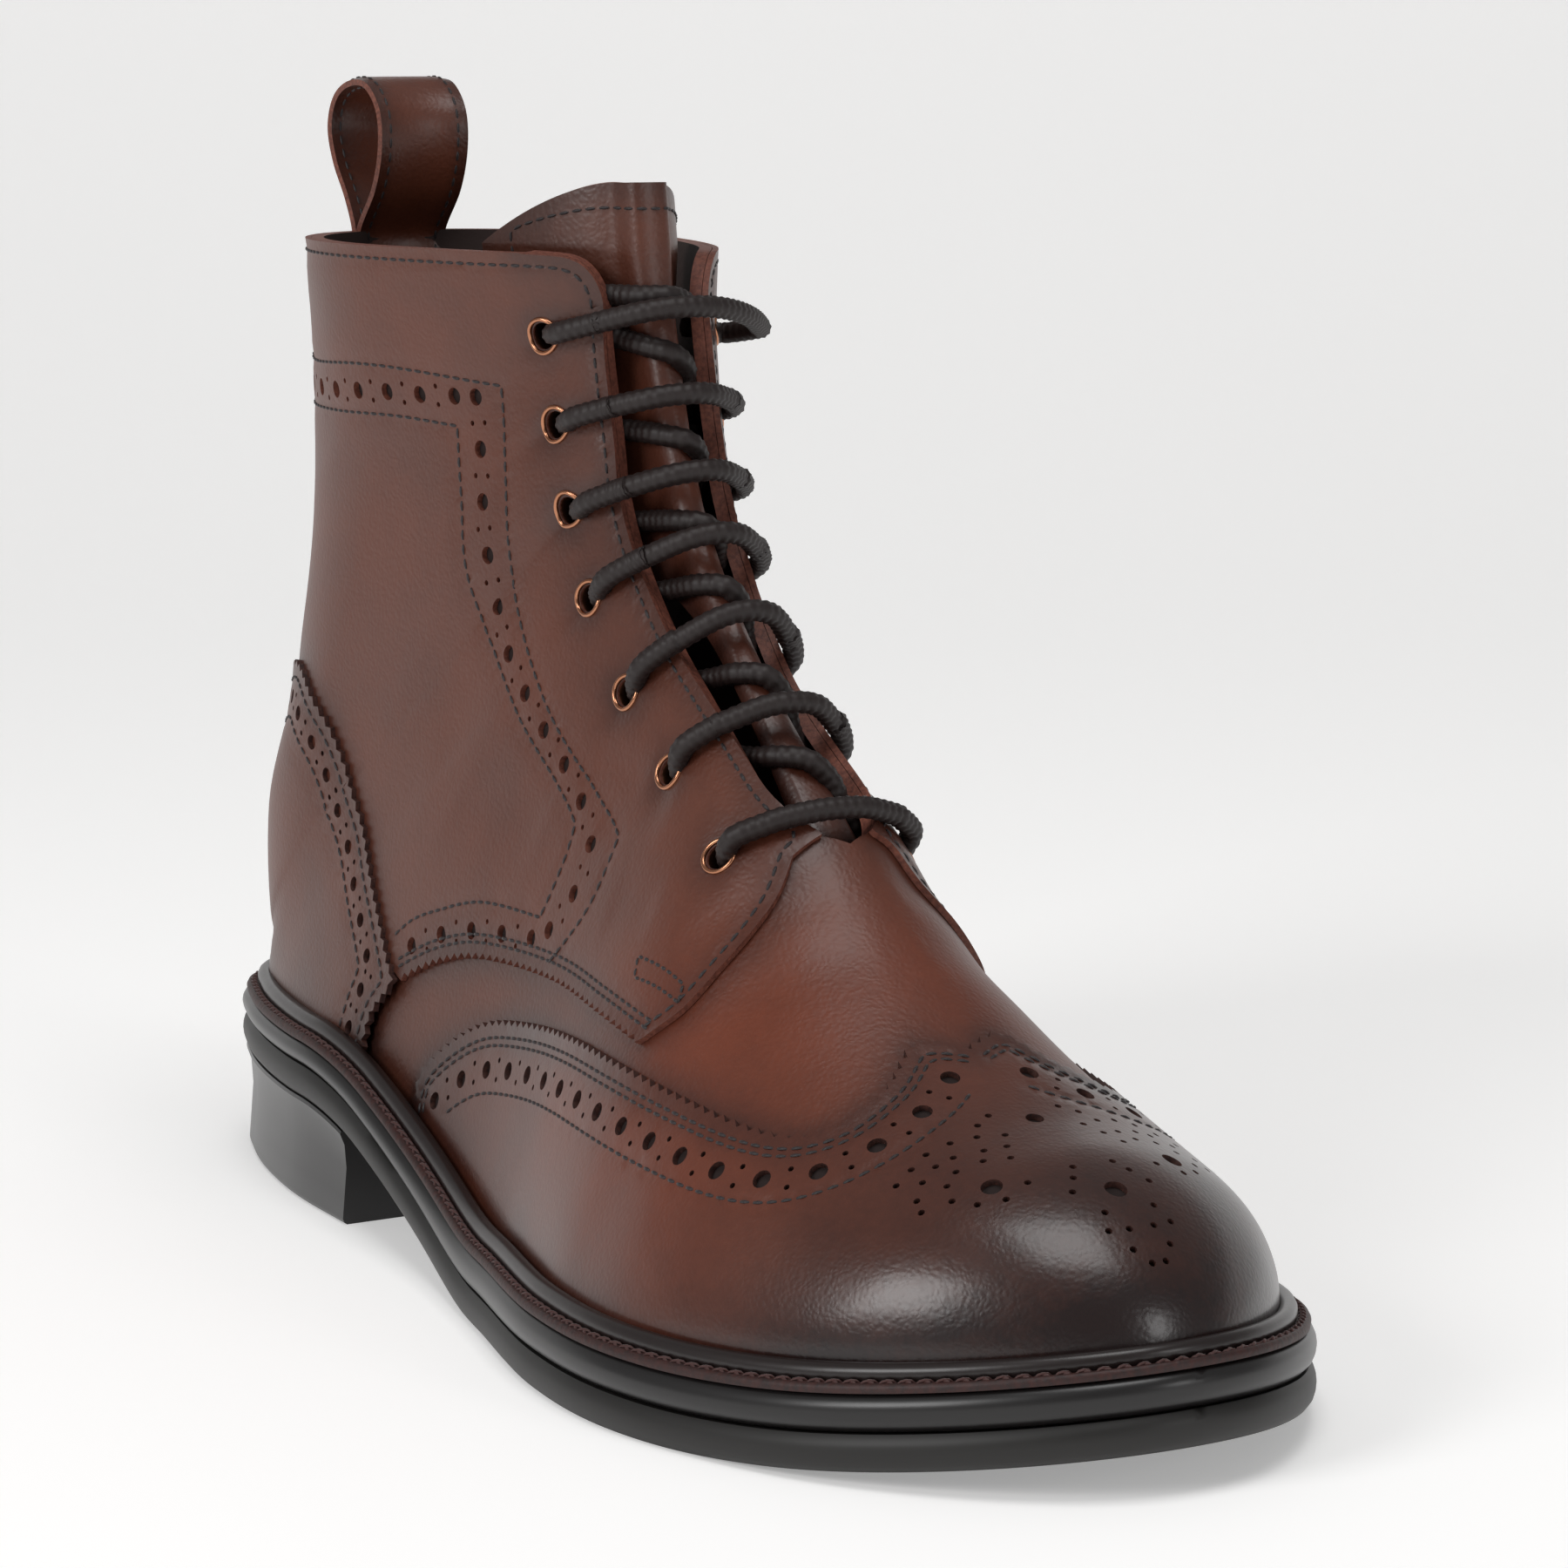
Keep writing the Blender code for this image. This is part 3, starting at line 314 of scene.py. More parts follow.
def addNode(tree, kind, settings):  # a setting is a value, or the socket that feeds it
    node = tree.nodes.new(kind)
    for name, value in settings.items():
        if isinstance(name, str) and name not in node.inputs:
            setattr(node, name, value)
        elif isinstance(value, bpy.types.NodeSocket):
            tree.links.new(value, node.inputs[name])
        else:
            node.inputs[name].default_value = value
    return node


def newMaterial(name, settings):
    made = bpy.data.materials.new(name)
    made.use_nodes = True
    shader = made.node_tree.nodes["Principled BSDF"]
    for key, value in settings.items():
        shader.inputs[key].default_value = value
    return made, made.node_tree, shader


def mixed(tree, factor, first, second):
    node = addNode(tree, "ShaderNodeMix", {"data_type": "RGBA", 0: factor, 6: first, 7: second})
    return node.outputs[2]


def calf(name, look):
    made, tree, shader = newMaterial(name, {
        "IOR": 1.5, "Coat Weight": look["coat"], "Coat Roughness": look["coatRough"], "Coat IOR": 1.45})
    where = addNode(tree, "ShaderNodeTexCoord", {}).outputs["Object"]
    cloud = addNode(tree, "ShaderNodeTexNoise", {"Vector": where, "Scale": 1 / 0.022, "Detail": 5.0}).outputs[0]
    speck = addNode(tree, "ShaderNodeTexNoise", {"Vector": where, "Scale": 1 / 0.0016, "Detail": 4.0}).outputs[0]
    # darkening from the mesh: burnished leather, with painted shade along overlapping edges and under the facings
    darkening = addNode(tree, "ShaderNodeAttribute", {"attribute_name": "burnish_and_shade"}).outputs["Fac"]
    warm = addNode(tree, "ShaderNodeAttribute", {"attribute_name": "warm"}).outputs["Fac"]
    uneven = addNode(tree, "ShaderNodeMapRange", {
        "Value": cloud, "From Min": 0.35, "From Max": 0.65, "To Min": -0.10, "To Max": 0.12}).outputs[0]
    grit = addNode(tree, "ShaderNodeMapRange", {
        "Value": speck, "From Min": 0.3, "From Max": 0.7, "To Min": -0.05, "To Max": 0.05}).outputs[0]
    depth = addNode(tree, "ShaderNodeMath", {"operation": "ADD", 0: darkening, 1: uneven}).outputs[0]
    depth = addNode(tree, "ShaderNodeMath", {"operation": "ADD", "use_clamp": True, 0: depth, 1: grit}).outputs[0]
    base = mixed(tree, warm, linear(look["middle"]), linear(look["warm"]))
    tree.links.new(mixed(tree, depth, base, linear(look["dark"])), shader.inputs["Base Color"])
    gloss = addNode(tree, "ShaderNodeMapRange", {
        "Value": depth, "To Min": look["rough"], "To Max": look["rough"] - 0.10}).outputs[0]
    tree.links.new(gloss, shader.inputs["Roughness"])
    bend = addNode(tree, "ShaderNodeTexNoise", {
        "Vector": where, "Scale": 1 / 0.004, "Detail": 2.0}).outputs["Color"]
    warped = addNode(tree, "ShaderNodeMix", {
        "data_type": "VECTOR", "Factor": 0.0022, 4: where, 5: bend}).outputs[1]
    pores = addNode(tree, "ShaderNodeTexVoronoi", {
        "feature": "SMOOTH_F1", "Vector": warped, "Scale": 1 / look["grain"],
        "Smoothness": 0.6}).outputs["Distance"]
    fine = addNode(tree, "ShaderNodeTexNoise", {"Vector": where, "Scale": 1 / 0.0006, "Detail": 3.0}).outputs[0]
    first = addNode(tree, "ShaderNodeBump", {
        "Strength": look["grainStrength"], "Distance": 0.00012, "Height": pores, "invert": True}).outputs[0]
    second = addNode(tree, "ShaderNodeBump", {
        "Strength": 0.25, "Distance": 0.00005, "Height": fine, "Normal": first}).outputs[0]
    tree.links.new(second, shader.inputs["Normal"])
    return made


def plain(name, look):
    made, tree, shader = newMaterial(name, {
        "Base Color": linear(look["colour"]), "Roughness": look["rough"], "IOR": look.get("ior", 1.5),
        "Metallic": look.get("metal", 0.0), "Coat Weight": look.get("coat", 0.0),
        "Coat Roughness": look.get("coatRough", 0.2), "Sheen Weight": look.get("sheen", 0.0),
        "Emission Color": linear("#ffffff"), "Emission Strength": look.get("glow", 0.0)})
    if "grain" in look:
        where = addNode(tree, "ShaderNodeTexCoord", {}).outputs["Object"]
        noise = addNode(tree, "ShaderNodeTexNoise", {
            "Vector": where, "Scale": 1 / look["grain"], "Detail": 5.0}).outputs[0]
        bump = addNode(tree, "ShaderNodeBump", {
            "Strength": look["bump"], "Distance": 0.00015, "Height": noise}).outputs[0]
        tree.links.new(bump, shader.inputs["Normal"])
        if "second" in look:
            share = addNode(tree, "ShaderNodeMapRange", {
                "Value": noise, "From Min": 0.35, "From Max": 0.68}).outputs[0]
            tree.links.new(mixed(tree, share, linear(look["colour"]), linear(look["second"])),
                           shader.inputs["Base Color"])
    return made


# Burnished calf: a fine even grain with a wax finish, so a soft broad shine; darker at its edges, from worked-in
# dye and from painted shade along the overlapping panels
quarterLeather = calf("burnished calf", {
    "middle": "#5c3020", "warm": "#6b3019", "dark": "#1d0e0c", "rough": 0.46, "coat": 0.12, "coatRough": 0.30,
    "grain": 0.00085, "grainStrength": 0.55})
# The toe is bagged up with wax: the same skin, darker and with a clearer shine
toeLeather = calf("waxed toe calf", {
    "middle": "#5a2d1d", "warm": "#69301a", "dark": "#1b0c0b", "rough": 0.40, "coat": 0.25, "coatRough": 0.16,
    "grain": 0.00080, "grainStrength": 0.30})
# Cut edges show the skin's redder fibre under a thin edge dye
cutEdge = plain("cut leather edge", {"colour": "#7b4636", "second": "#552b20", "rough": 0.62, "grain": 0.0007,
                                     "bump": 0.5})
darkEdge = plain("dyed pinked edge", {"colour": "#4a2a22", "second": "#2a1613", "rough": 0.6, "grain": 0.0007,
                                      "bump": 0.5})
# Lining: an undyed-backed dark skin, matt
liningLeather = plain("dark lining leather", {"colour": "#2a1915", "rough": 0.75, "grain": 0.0009, "bump": 0.4})
# under the punched holes: dark backing leather, darkened further as painted shade in the pits
shadowLeather = plain("dark backing and painted shade under the holes", {"colour": "#1f100d", "rough": 0.85})
insoleLeather = plain("insole leather", {"colour": "#3a2720", "rough": 0.7, "grain": 0.001, "bump": 0.3})
weltLeather = plain("welt leather", {"colour": "#35130d", "second": "#1e0b0a", "rough": 0.55, "grain": 0.0012,
                                     "bump": 0.9})
beadLeather = plain("storm bead", {"colour": "#1c1312", "rough": 0.34, "coat": 0.1, "grain": 0.0025, "bump": 0.2})
glossRubber = plain("polished rubber edge", {"colour": "#171515", "rough": 0.34, "coat": 0.08, "grain": 0.004,
                                             "bump": 0.08})
mattRubber = plain("moulded rubber", {"colour": "#181614", "rough": 0.50, "coat": 0.0, "grain": 0.003,
                                      "bump": 0.12})
threadDark = plain("waxed thread", {"colour": "#1b1113", "rough": 0.55, "sheen": 0.1})
weltThread = plain("welt thread", {"colour": "#3c150f", "rough": 0.6, "sheen": 0.2})
laceCord = plain("waxed braid", {"colour": "#1c100e", "rough": 0.55})
brass = plain("antique copper", {"colour": "#b88062", "rough": 0.24, "metal": 1.0})
brassDark = plain("eyelet barrel", {"colour": "#5a3b2c", "rough": 0.4, "metal": 1.0})
coilNylon = plain("zip coil nylon", {"colour": "#141414", "rough": 0.4})
tapeCloth = plain("zip tape", {"colour": "#121111", "rough": 0.85, "grain": 0.0008, "bump": 0.5})
gunmetal = plain("gunmetal plating", {"colour": "#5c5856", "rough": 0.30, "metal": 1.0})
print("materials done")


# Meshes
def finished(name, points, faces, finishes, slots=None, angle=38.0, values=None):
    name = name.replace(" ", "_")
    mesh = bpy.data.meshes.new(name)
    mesh.from_pydata((np.asarray(points) - origin).tolist(), [], faces)
    for finish in finishes:
        mesh.materials.append(finish)
    if slots is not None:
        mesh.polygons.foreach_set("material_index", np.asarray(slots, np.int32))
    for key, value in (values or {}).items():
        mesh.attributes.new(key, "FLOAT", "POINT").data.foreach_set("value", np.asarray(value, np.float32))
    mesh.validate()
    mesh.shade_smooth()
    mesh.set_sharp_from_angle(angle=math.radians(angle))
    piece = bpy.data.objects.new(name, mesh)
    bpy.context.scene.collection.objects.link(piece)
    return piece


def worn(piece, *nodes, slot=None, body="boot"):
    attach(piece, body)
    if nodes:
        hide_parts(*nodes)
    return piece


def inside(points, ring):  # which points lie in a closed outline
    x, y = points[:, 0, None], points[:, 1, None]
    ax, ay = ring[:, 0], ring[:, 1]
    bx, by = np.roll(ax, -1), np.roll(ay, -1)
    crosses = (ay > y) != (by > y)
    with np.errstate(divide="ignore", invalid="ignore"):
        meet = ax + (y - ay) * (bx - ax) / (by - ay)
    return (np.count_nonzero(crosses & (x < meet), axis=1) % 2) == 1


def nearest(points, others):
    flatOnes = others.shape[1] == 2
    tree = KDTree(len(others))
    for number, other in enumerate(others):
        tree.insert((*other, 0.0) if flatOnes else other, number)
    tree.balance()
    return np.array([tree.find((*point, 0.0) if flatOnes else point)[2] for point in points])


# Steps along a panel's outline and mesh, a drawn line and a groove
spacing = {"mesh": 0.0017, "line": 0.0012, "groove": 0.0013}


def cut(outline, holes=(), grooves=()):
    # triangles of a panel laid flat in the chart: its outline runs anticlockwise; holes go right through
    step = spacing["mesh"]
    ring = flat(outline)
    rims = [flat(hole) for hole in holes]
    drawn = [flat(line) for line in grooves]
    x = np.arange(ring[:, 0].min(), ring[:, 0].max(), step)
    y = np.arange(ring[:, 1].min(), ring[:, 1].max(), step)
    grid = np.stack(np.meshgrid(x, y, indexing="ij"), -1).reshape(-1, 2)
    grid[:, 1] += np.where(np.round(grid[:, 0] / step) % 2 > 0, step / 2, 0)
    grid = grid[inside(grid, ring)]
    fixed = np.vstack([ring, *rims, *drawn])
    grid = grid[nearest(grid, fixed) > 0.45 * step]
    points = np.vstack([ring, *rims, *drawn, grid]) * 1000
    at = len(ring)
    faces = [list(range(at))]
    for rim in rims:
        faces.append(list(range(at, at + len(rim))))
        at += len(rim)
    edges = []
    for line in drawn:
        edges += [(i, i + 1) for i in range(at, at + len(line) - 1)]
        at += len(line)
    made = delaunay_2d_cdt([Vector(p) for p in points], edges, faces, 0, 1e-6)
    spots = np.array([tuple(p) for p in made[0]]) / 1000
    chart = np.column_stack([np.interp(spots[:, 0], rowRun, fineRows), spots[:, 1] / girth])
    for source, known in ((ring, outline), *zip(rims, holes), *zip(drawn, grooves)):
        gap = np.abs(spots[:, None, 0] - source[None, :, 0]) + np.abs(spots[:, None, 1] - source[None, :, 1])
        near = gap.argmin(axis=0)
        good = gap[near, np.arange(len(source))] < 1e-6
        chart[near[good]] = np.asarray(known)[good]
    kept = [face for face, source in zip(made[2], made[5]) if list(source) == [0]]
    dip = np.zeros(len(chart))
    if drawn:
        away = nearest(spots, np.vstack(drawn))
        dip = -0.00022 * np.exp(-(away / 0.0006) ** 2)
    return chart, np.array(kept), dip


def shell(name, patches, low, high, finishes):
    # a sheet with thickness over the upper; finishes are its outside, its inside and its cut edge
    charts = np.vstack([chart for chart, _, _ in patches])
    dips = np.concatenate([dip for _, _, dip in patches])
    cells, at = [], 0
    for chart, kept, _ in patches:
        cells.append(kept[:, ::-1] + at)
        at += len(chart)
    cells = np.vstack(cells)
    base = bare(charts)
    _, first, where = np.unique(np.round(base, 6), axis=0, return_index=True, return_inverse=True)
    where = where.ravel()
    cells = where[cells]
    good = (cells[:, 0] != cells[:, 1]) & (cells[:, 1] != cells[:, 2]) & (cells[:, 2] != cells[:, 0])
    cells = cells[good]
    used, cells = np.unique(cells, return_inverse=True)
    cells = cells.reshape(-1, 3)
    charts, dips = charts[first[used]], dips[first[used]]
    outside, under = place(charts, high + dips), place(charts, low)
    count = len(charts)
    pairs = np.vstack([cells[:, [0, 1]], cells[:, [1, 2]], cells[:, [2, 0]]])
    codes = pairs[:, 0].astype(np.int64) * count + pairs[:, 1]
    turned = pairs[:, 1].astype(np.int64) * count + pairs[:, 0]
    rim = pairs[~np.isin(codes, turned)]
    faces = cells.tolist() + (cells[:, ::-1] + count).tolist()
    faces += [[b, a, a + count, b + count] for a, b in rim.tolist()]
    slots = [0] * len(cells) + [1] * len(cells) + [2] * len(rim)
    # burnished darkening, with painted shade along the overlapping edges
    darkening, warm = tone(outside)
    values = {"burnish_and_shade": np.tile(darkening, 2), "warm": np.tile(warm, 2)}
    return finished(name, np.vstack([outside, under]), faces, finishes, slots, values=values)


# Lines on the leather
def onSide(points, side):
    return np.array([(row, side * (1 - height)) for row, height in points])


def evenly(chart, step):  # resampled at equal steps of real length
    run = runLength(bare(chart))
    count = max(2, int(round(run[-1] / step)) + 1)
    return sampled(chart, run, np.linspace(0, run[-1], count))


def tangents(chart):
    e = 1e-3
    side = np.where(chart[:, 1] < 0, -1.0, 1.0)
    inner = np.column_stack([np.clip(chart[:, 0], 2 * e, topRow - 2 * e),
                             side * np.clip(np.abs(chart[:, 1]), 2 * e, 1 - 2 * e)])
    a = (bare(inner + (e, 0)) - bare(inner - (e, 0))) / (2 * e)
    b = (bare(inner + (0, e)) - bare(inner - (0, e))) / (2 * e)
    return a, b


def toChart(chart, vectors):  # small moves in space along the surface, as moves in the chart
    a, b = tangents(chart)
    aa, ab, bb = (a * a).sum(1), (a * b).sum(1), (b * b).sum(1)
    va, vb = (vectors * a).sum(1), (vectors * b).sum(1)
    det = aa * bb - ab * ab
    return np.column_stack([(va * bb - vb * ab) / det, (vb * aa - va * ab) / det])


def settle(chart, goal):
    # moves places over the leather until they lie at their goals; by the sole they follow their neighbours
    side = np.sign(chart[len(chart) // 2, 1])
    at = chart.copy()
    for _ in range(5):
        at += np.clip(toChart(at, goal - bare(at)), (-0.4, -0.06), (0.4, 0.06))
        at[:, 0] = np.clip(at[:, 0], 0, topRow)
        at[:, 1] = side * np.clip(side * at[:, 1], 0, 1)
    shift = at - chart
    safe = np.flatnonzero((np.abs(chart[:, 1]) < 0.96) & (np.abs(at[:, 1]) < 0.985))
    near = safe[np.abs(np.arange(len(chart))[:, None] - safe[None]).argmin(axis=1)]
    at = chart + shift[near]
    at[:, 1] = side * np.clip(side * at[:, 1], 0, 1)
    return at


def drawnLine(points, side):
    chart = onSide(points, side)
    line = settle(rounded(chart, 12, closed=False), rounded(bare(chart), 12, closed=False))
    line[[0, -1]] = chart[[0, -1]]
    return evenly(line, spacing["line"])


def aside(chart, distance):
    # the same line moved over the leather, the same way on both sides of the boot
    solid = bare(chart)
    run = np.gradient(solid, axis=0)
    run /= np.linalg.norm(run, axis=1)[:, None] + 1e-12
    side = np.sign(chart[len(chart) // 2, 1])
    across = np.cross(outward(chart), run) * side
    return settle(chart, solid + across * np.asarray(distance).reshape(-1, 1))


def parallel(chart, distance):
    # the same, without the folds of an inner corner or what runs off the leather
    line = aside(chart, distance)
    away = nearest(bare(line), bare(chart))
    return line[(away > 0.93 * abs(distance)) & (np.abs(line[:, 1]) < 0.985)]


pinking = {"pitch": 0.0027, "tooth": 0.0011}


def pinked(chart, way):  # a sawtooth edge, its teeth to one side or the other
    line = evenly(chart, pinking["pitch"] / 2)
    distance = np.where(np.arange(len(line)) % 2 > 0, way * pinking["tooth"], 0.0)
    distance[[0, -1]] = 0
    return aside(line, distance)


def punch(chart, radius, count):
    solid = outward(chart[None])
    along = np.cross(solid, (0.0, 0.0, 1.0))
    along /= np.linalg.norm(along)
    up = np.cross(along, solid)
    angles = 2 * np.pi * np.arange(count) / count
    moves = radius * (np.cos(angles)[:, None] * along + np.sin(angles)[:, None] * up)
    ring = chart + toChart(np.repeat(chart[None], count, 0), moves)
    area = np.sum(ring[:, 0] * np.roll(ring[:, 1], -1) - ring[:, 1] * np.roll(ring[:, 0], -1))
    return ring if area > 0 else ring[::-1]


holePlaces = []


def broguing(line, pitch, big=0.00160, small=0.00052, apart=0.0017, skip=0.4):
    # large holes along a line with a pair of small ones between
    run = runLength(bare(line))
    count = max(1, int(round((run[-1] - 2 * skip * pitch) / pitch)))
    at = np.linspace(skip * pitch, run[-1] - skip * pitch, 2 * count + 1)
    spots = sampled(line, run, at[::2])
    holes = [punch(spot, big, 16) for spot in spots]
    holePlaces.extend((spot, big) for spot in spots)
    for distance in (-apart, apart):
        for spot in sampled(aside(line, distance), run, at[1::2]):
            holes.append(punch(spot, small, 8))
            holePlaces.append((spot, small))
    return holes


stitchRuns = []


def stitched(line, lift, step=0.0026):
    stitchRuns.append((evenly(line, step), lift))
    return line


def sewn(line, lift):
    return stitched(evenly(line, spacing["groove"]), lift)


# Lines of the pattern, as rows and heights
wingEdge = ((9.28, 0.0), (9.43, 0.18), (9.10, 0.295), (8.45, 0.362), (7.08, 0.430), (4.80, 0.529),
            (3.38, 0.633), (2.88, 0.725), (2.93, 0.835), (3.25, 0.915), (3.20, 0.955), (3.08, 1.0))
counterFront = ((10.03, 0.0), (10.16, 0.10), (10.28, 0.19), (10.25, 0.254), (10.42, 0.273), (11.43, 0.367),
                (13.33, 0.438), (14.08, 0.404), (15.03, 0.308), (15.25, 0.16), (15.32, 0.0))
quarterFoot = ((5.70, 0.525), (6.88, 0.487), (8.20, 0.446), (9.43, 0.375), (9.95, 0.321), (10.25, 0.262))
quarterTip = ((5.52, 0.875), (5.30, 0.82), (5.21, 0.75), (5.23, 0.68), (5.35, 0.60), (5.70, 0.525))
bandOuter = ((16.12, 0.679), (15.53, 0.683), (14.65, 0.688), (12.33, 0.671), (10.15, 0.617), (8.30, 0.613),
             (8.05, 0.600), (8.03, 0.529), (8.36, 0.447))
bandInner = ((15.93, 0.608), (15.20, 0.617), (13.55, 0.633), (10.80, 0.596), (9.12, 0.571), (8.90, 0.555),
             (8.83, 0.508), (8.83, 0.467))
bandHoles = ((16.15, 0.640), (15.40, 0.648), (14.10, 0.659), (12.10, 0.640), (10.50, 0.608), (9.20, 0.592),
             (8.50, 0.572), (8.42, 0.520), (8.58, 0.470))
archUpper = ((8.83, 0.467), (9.73, 0.417), (10.23, 0.367), (10.45, 0.338), (10.55, 0.308))
archHoles = ((8.75, 0.447), (9.15, 0.421), (9.60, 0.390), (10.00, 0.352), (10.32, 0.305))
topUpper = ((17.42, 0.0), (17.38, 0.12), (17.23, 0.271), (17.07, 0.446), (16.80, 0.550), (16.12, 0.679))
topLower = ((17.20, 0.0), (17.14, 0.12), (16.98, 0.267), (16.53, 0.483), (15.93, 0.608))
topHoles = ((17.31, 0.0), (17.26, 0.12), (17.10, 0.27), (16.80, 0.466), (16.52, 0.555), (16.15, 0.640))
zipFoot = 13.4


def zipHeight(row):
    heights = np.linspace(0.05, 0.95, 181)
    points = surface(np.full(181, row), heights, 1)
    share = (points[:, 2] / boot["collarHeight"] - 0.47) / 0.53
    line = back + (0.222 - 0.017 * share) * reach
    return float(np.interp(0.0, points[:, 0] - line, heights))


def zipPlaces(rows, half):  # the zip's middle, and half a width of it as a share of the height
    middle = np.array([zipHeight(r) for r in rows])
    spread = surface(rows, middle + 0.02, 1) - surface(rows, middle - 0.02, 1)
    return middle, 0.04 * half / np.linalg.norm(spread, axis=1)


def nearEdges(solid, edges, width):
    return np.exp(-(nearest(solid, edges) / width) ** 2)


eyeletSpots = bare(np.array(eyeletCharts))
# cut edges along which the leather is darkened: edge dye, and painted shade from the overlap
dyedAndShadedEdges = []


def tone(solid):
    # darker at the toe, along the sole, at cut edges and round the eyelets, towards the back and on the inner
    # side; redder on the vamp and flanks. At the cut edges the darkening is edge dye and painted shade cast by
    # the overlapping panels
    x, z = solid[:, 0], solid[:, 2]
    halo = nearEdges(solid, eyeletSpots, 0.0058)
    # painted shade and edge dye along the panels' overlapping cut edges
    edges = nearEdges(solid, np.vstack(dyedAndShadedEdges), 0.0045)
    toe = smooth((x - 0.232) / 0.055)
    low = np.exp(-np.maximum(z - soleTop(x) - 0.004, 0) / 0.009)
    rear = smooth((0.030 - x) / 0.03) * 0.35
    inner = 0.35 * smooth((solid[:, 1] - 0.005) / 0.03)
    darkening = 0.10 + 0.62 * halo + 0.42 * edges + 0.62 * toe + 0.45 * low + rear + inner
    vamp = np.exp(-((x - 0.215) / 0.030) ** 2) * np.exp(-((z - 0.055) / 0.022) ** 2)
    flank = np.exp(-((x - 0.200) / 0.045) ** 2) * np.exp(-((z - 0.030) / 0.016) ** 2)
    return np.clip(darkening, 0, 0.95), np.clip(0.15 + 1.0 * vamp + 0.7 * flank, 0, 1)


def throatLine(first, last, side):
    rows = np.linspace(first, last, 90)
    return np.array([(row, side * (1 - throatEdge(row, side))) for row in rows])


def ccw(ring):
    spots = flat(ring)
    area = np.sum(spots[:, 0] * np.roll(spots[:, 1], -1) - spots[:, 1] * np.roll(spots[:, 0], -1))
    return ring if area > 0 else ring[::-1]


def joined(*parts):
    ring = np.vstack(parts)
    spots = flat(ring)
    gap = np.linalg.norm(spots - np.roll(spots, 1, axis=0), axis=1)
    return ccw(ring[gap > 2e-5])


def alongRows(first, last, q, count=200):
    return evenly(np.array([(row, float(q)) for row in np.linspace(first, last, count)]), spacing["mesh"])


def collarLine(first, last):
    return evenly(np.array([(topRow, q) for q in np.linspace(first, last, 200)]), spacing["mesh"])


# The wingtip
toe = {"low": 0.0001, "high": 0.0012, "rows": (0.0020, 0.0034, 0.0118), "holes": 0.0077, "holePitch": 0.0098}
toeHoles, toeGrooves, toeEdges = [], [], []
for side in (-1, 1):
    edge = drawnLine(wingEdge, side)
    toeEdges.append(pinked(edge, -1))
    dyedAndShadedEdges.append(bare(edge))
    toeGrooves += [sewn(parallel(edge, distance), toe["high"]) for distance in toe["rows"]]
    middle = parallel(edge, toe["holes"])
    toeHoles += broguing(middle[np.abs(middle[:, 1]) > 0.02], toe["holePitch"])
medallion = (  # rows and heights of the toe's pattern, with the radius of each hole
    (2.12, 1.0, 0.0015), (1.33, 0.80, 0.0017), (0.86, 1.0, 0.0018),
    (2.28, 0.935, 0.0006), (2.20, 0.905, 0.0006), (2.06, 0.885, 0.0006), (1.84, 0.868, 0.0006),
    (1.70, 0.846, 0.0006), (2.12, 0.842, 0.0006), (1.93, 0.820, 0.0006), (2.13, 0.796, 0.0006),
    (2.07, 0.755, 0.0006), (1.94, 0.785, 0.0006), (1.74, 0.795, 0.0006), (2.02, 0.712, 0.0006),
    (1.86, 0.742, 0.0006), (1.64, 0.757, 0.0006), (1.72, 0.700, 0.0006), (1.58, 0.679, 0.0006),
    (1.45, 0.729, 0.0006), (1.25, 0.746, 0.0006), (1.96, 0.925, 0.0006), (1.78, 0.905, 0.0006),
    (1.58, 0.885, 0.0006), (1.18, 0.854, 0.0006), (1.13, 0.790, 0.0006), (1.05, 0.935, 0.0006),
    (1.18, 0.956, 0.0006), (0.92, 0.905, 0.0006), (0.72, 0.93, 0.0006), (0.62, 0.90, 0.0006),
    (0.60, 0.96, 0.0006), (0.50, 0.93, 0.0006), (0.42, 0.97, 0.0006),
)
for row, height, radius in medallion:
    for side in (-1, 1):
        if height < 0.99 or side < 0:
            spot = np.array([row, side * (1 - height)])
            if height > 0.99:
                spot[1] = -1e-4
            toeHoles.append(punch(spot, radius, 16 if radius > 0.001 else 8))
            holePlaces.append((spot, radius))
outline = joined(toeEdges[0], toeEdges[1][::-1], alongRows(wingEdge[0][0], 0.0, 1),
                 alongRows(0.0, wingEdge[0][0], -1))
toePatch = cut(outline, toeHoles, toeGrooves)
print("wingtip cut", len(toePatch[1]))


# The counter, one patch to each side of the back seam
counter = {"low": 0.0011, "high": 0.0022, "rows": (0.0022, 0.0098), "holes": 0.0060, "holePitch": 0.0080}
counterPatches = []
for side in (-1, 1):
    whole = drawnLine(counterFront, side)
    edge = pinked(whole, 1)
    dyedAndShadedEdges.append(bare(whole))
    grooves = []
    for distance in counter["rows"]:
        row = parallel(whole, -distance)
        grooves.append(sewn(row[row[:, 0] < 15.1], counter["high"]))
    middle = parallel(whole, -counter["holes"])
    holes = broguing(middle[np.abs(middle[:, 1]) < 0.96], counter["holePitch"], big=0.00140, apart=0.0014)
    outline = joined(edge, alongRows(counterFront[-1][0], heelRow, side, 100),
                     alongRows(heelRow, counterFront[0][0], side))
    counterPatches.append(cut(outline, holes, grooves))
print("counter cut")

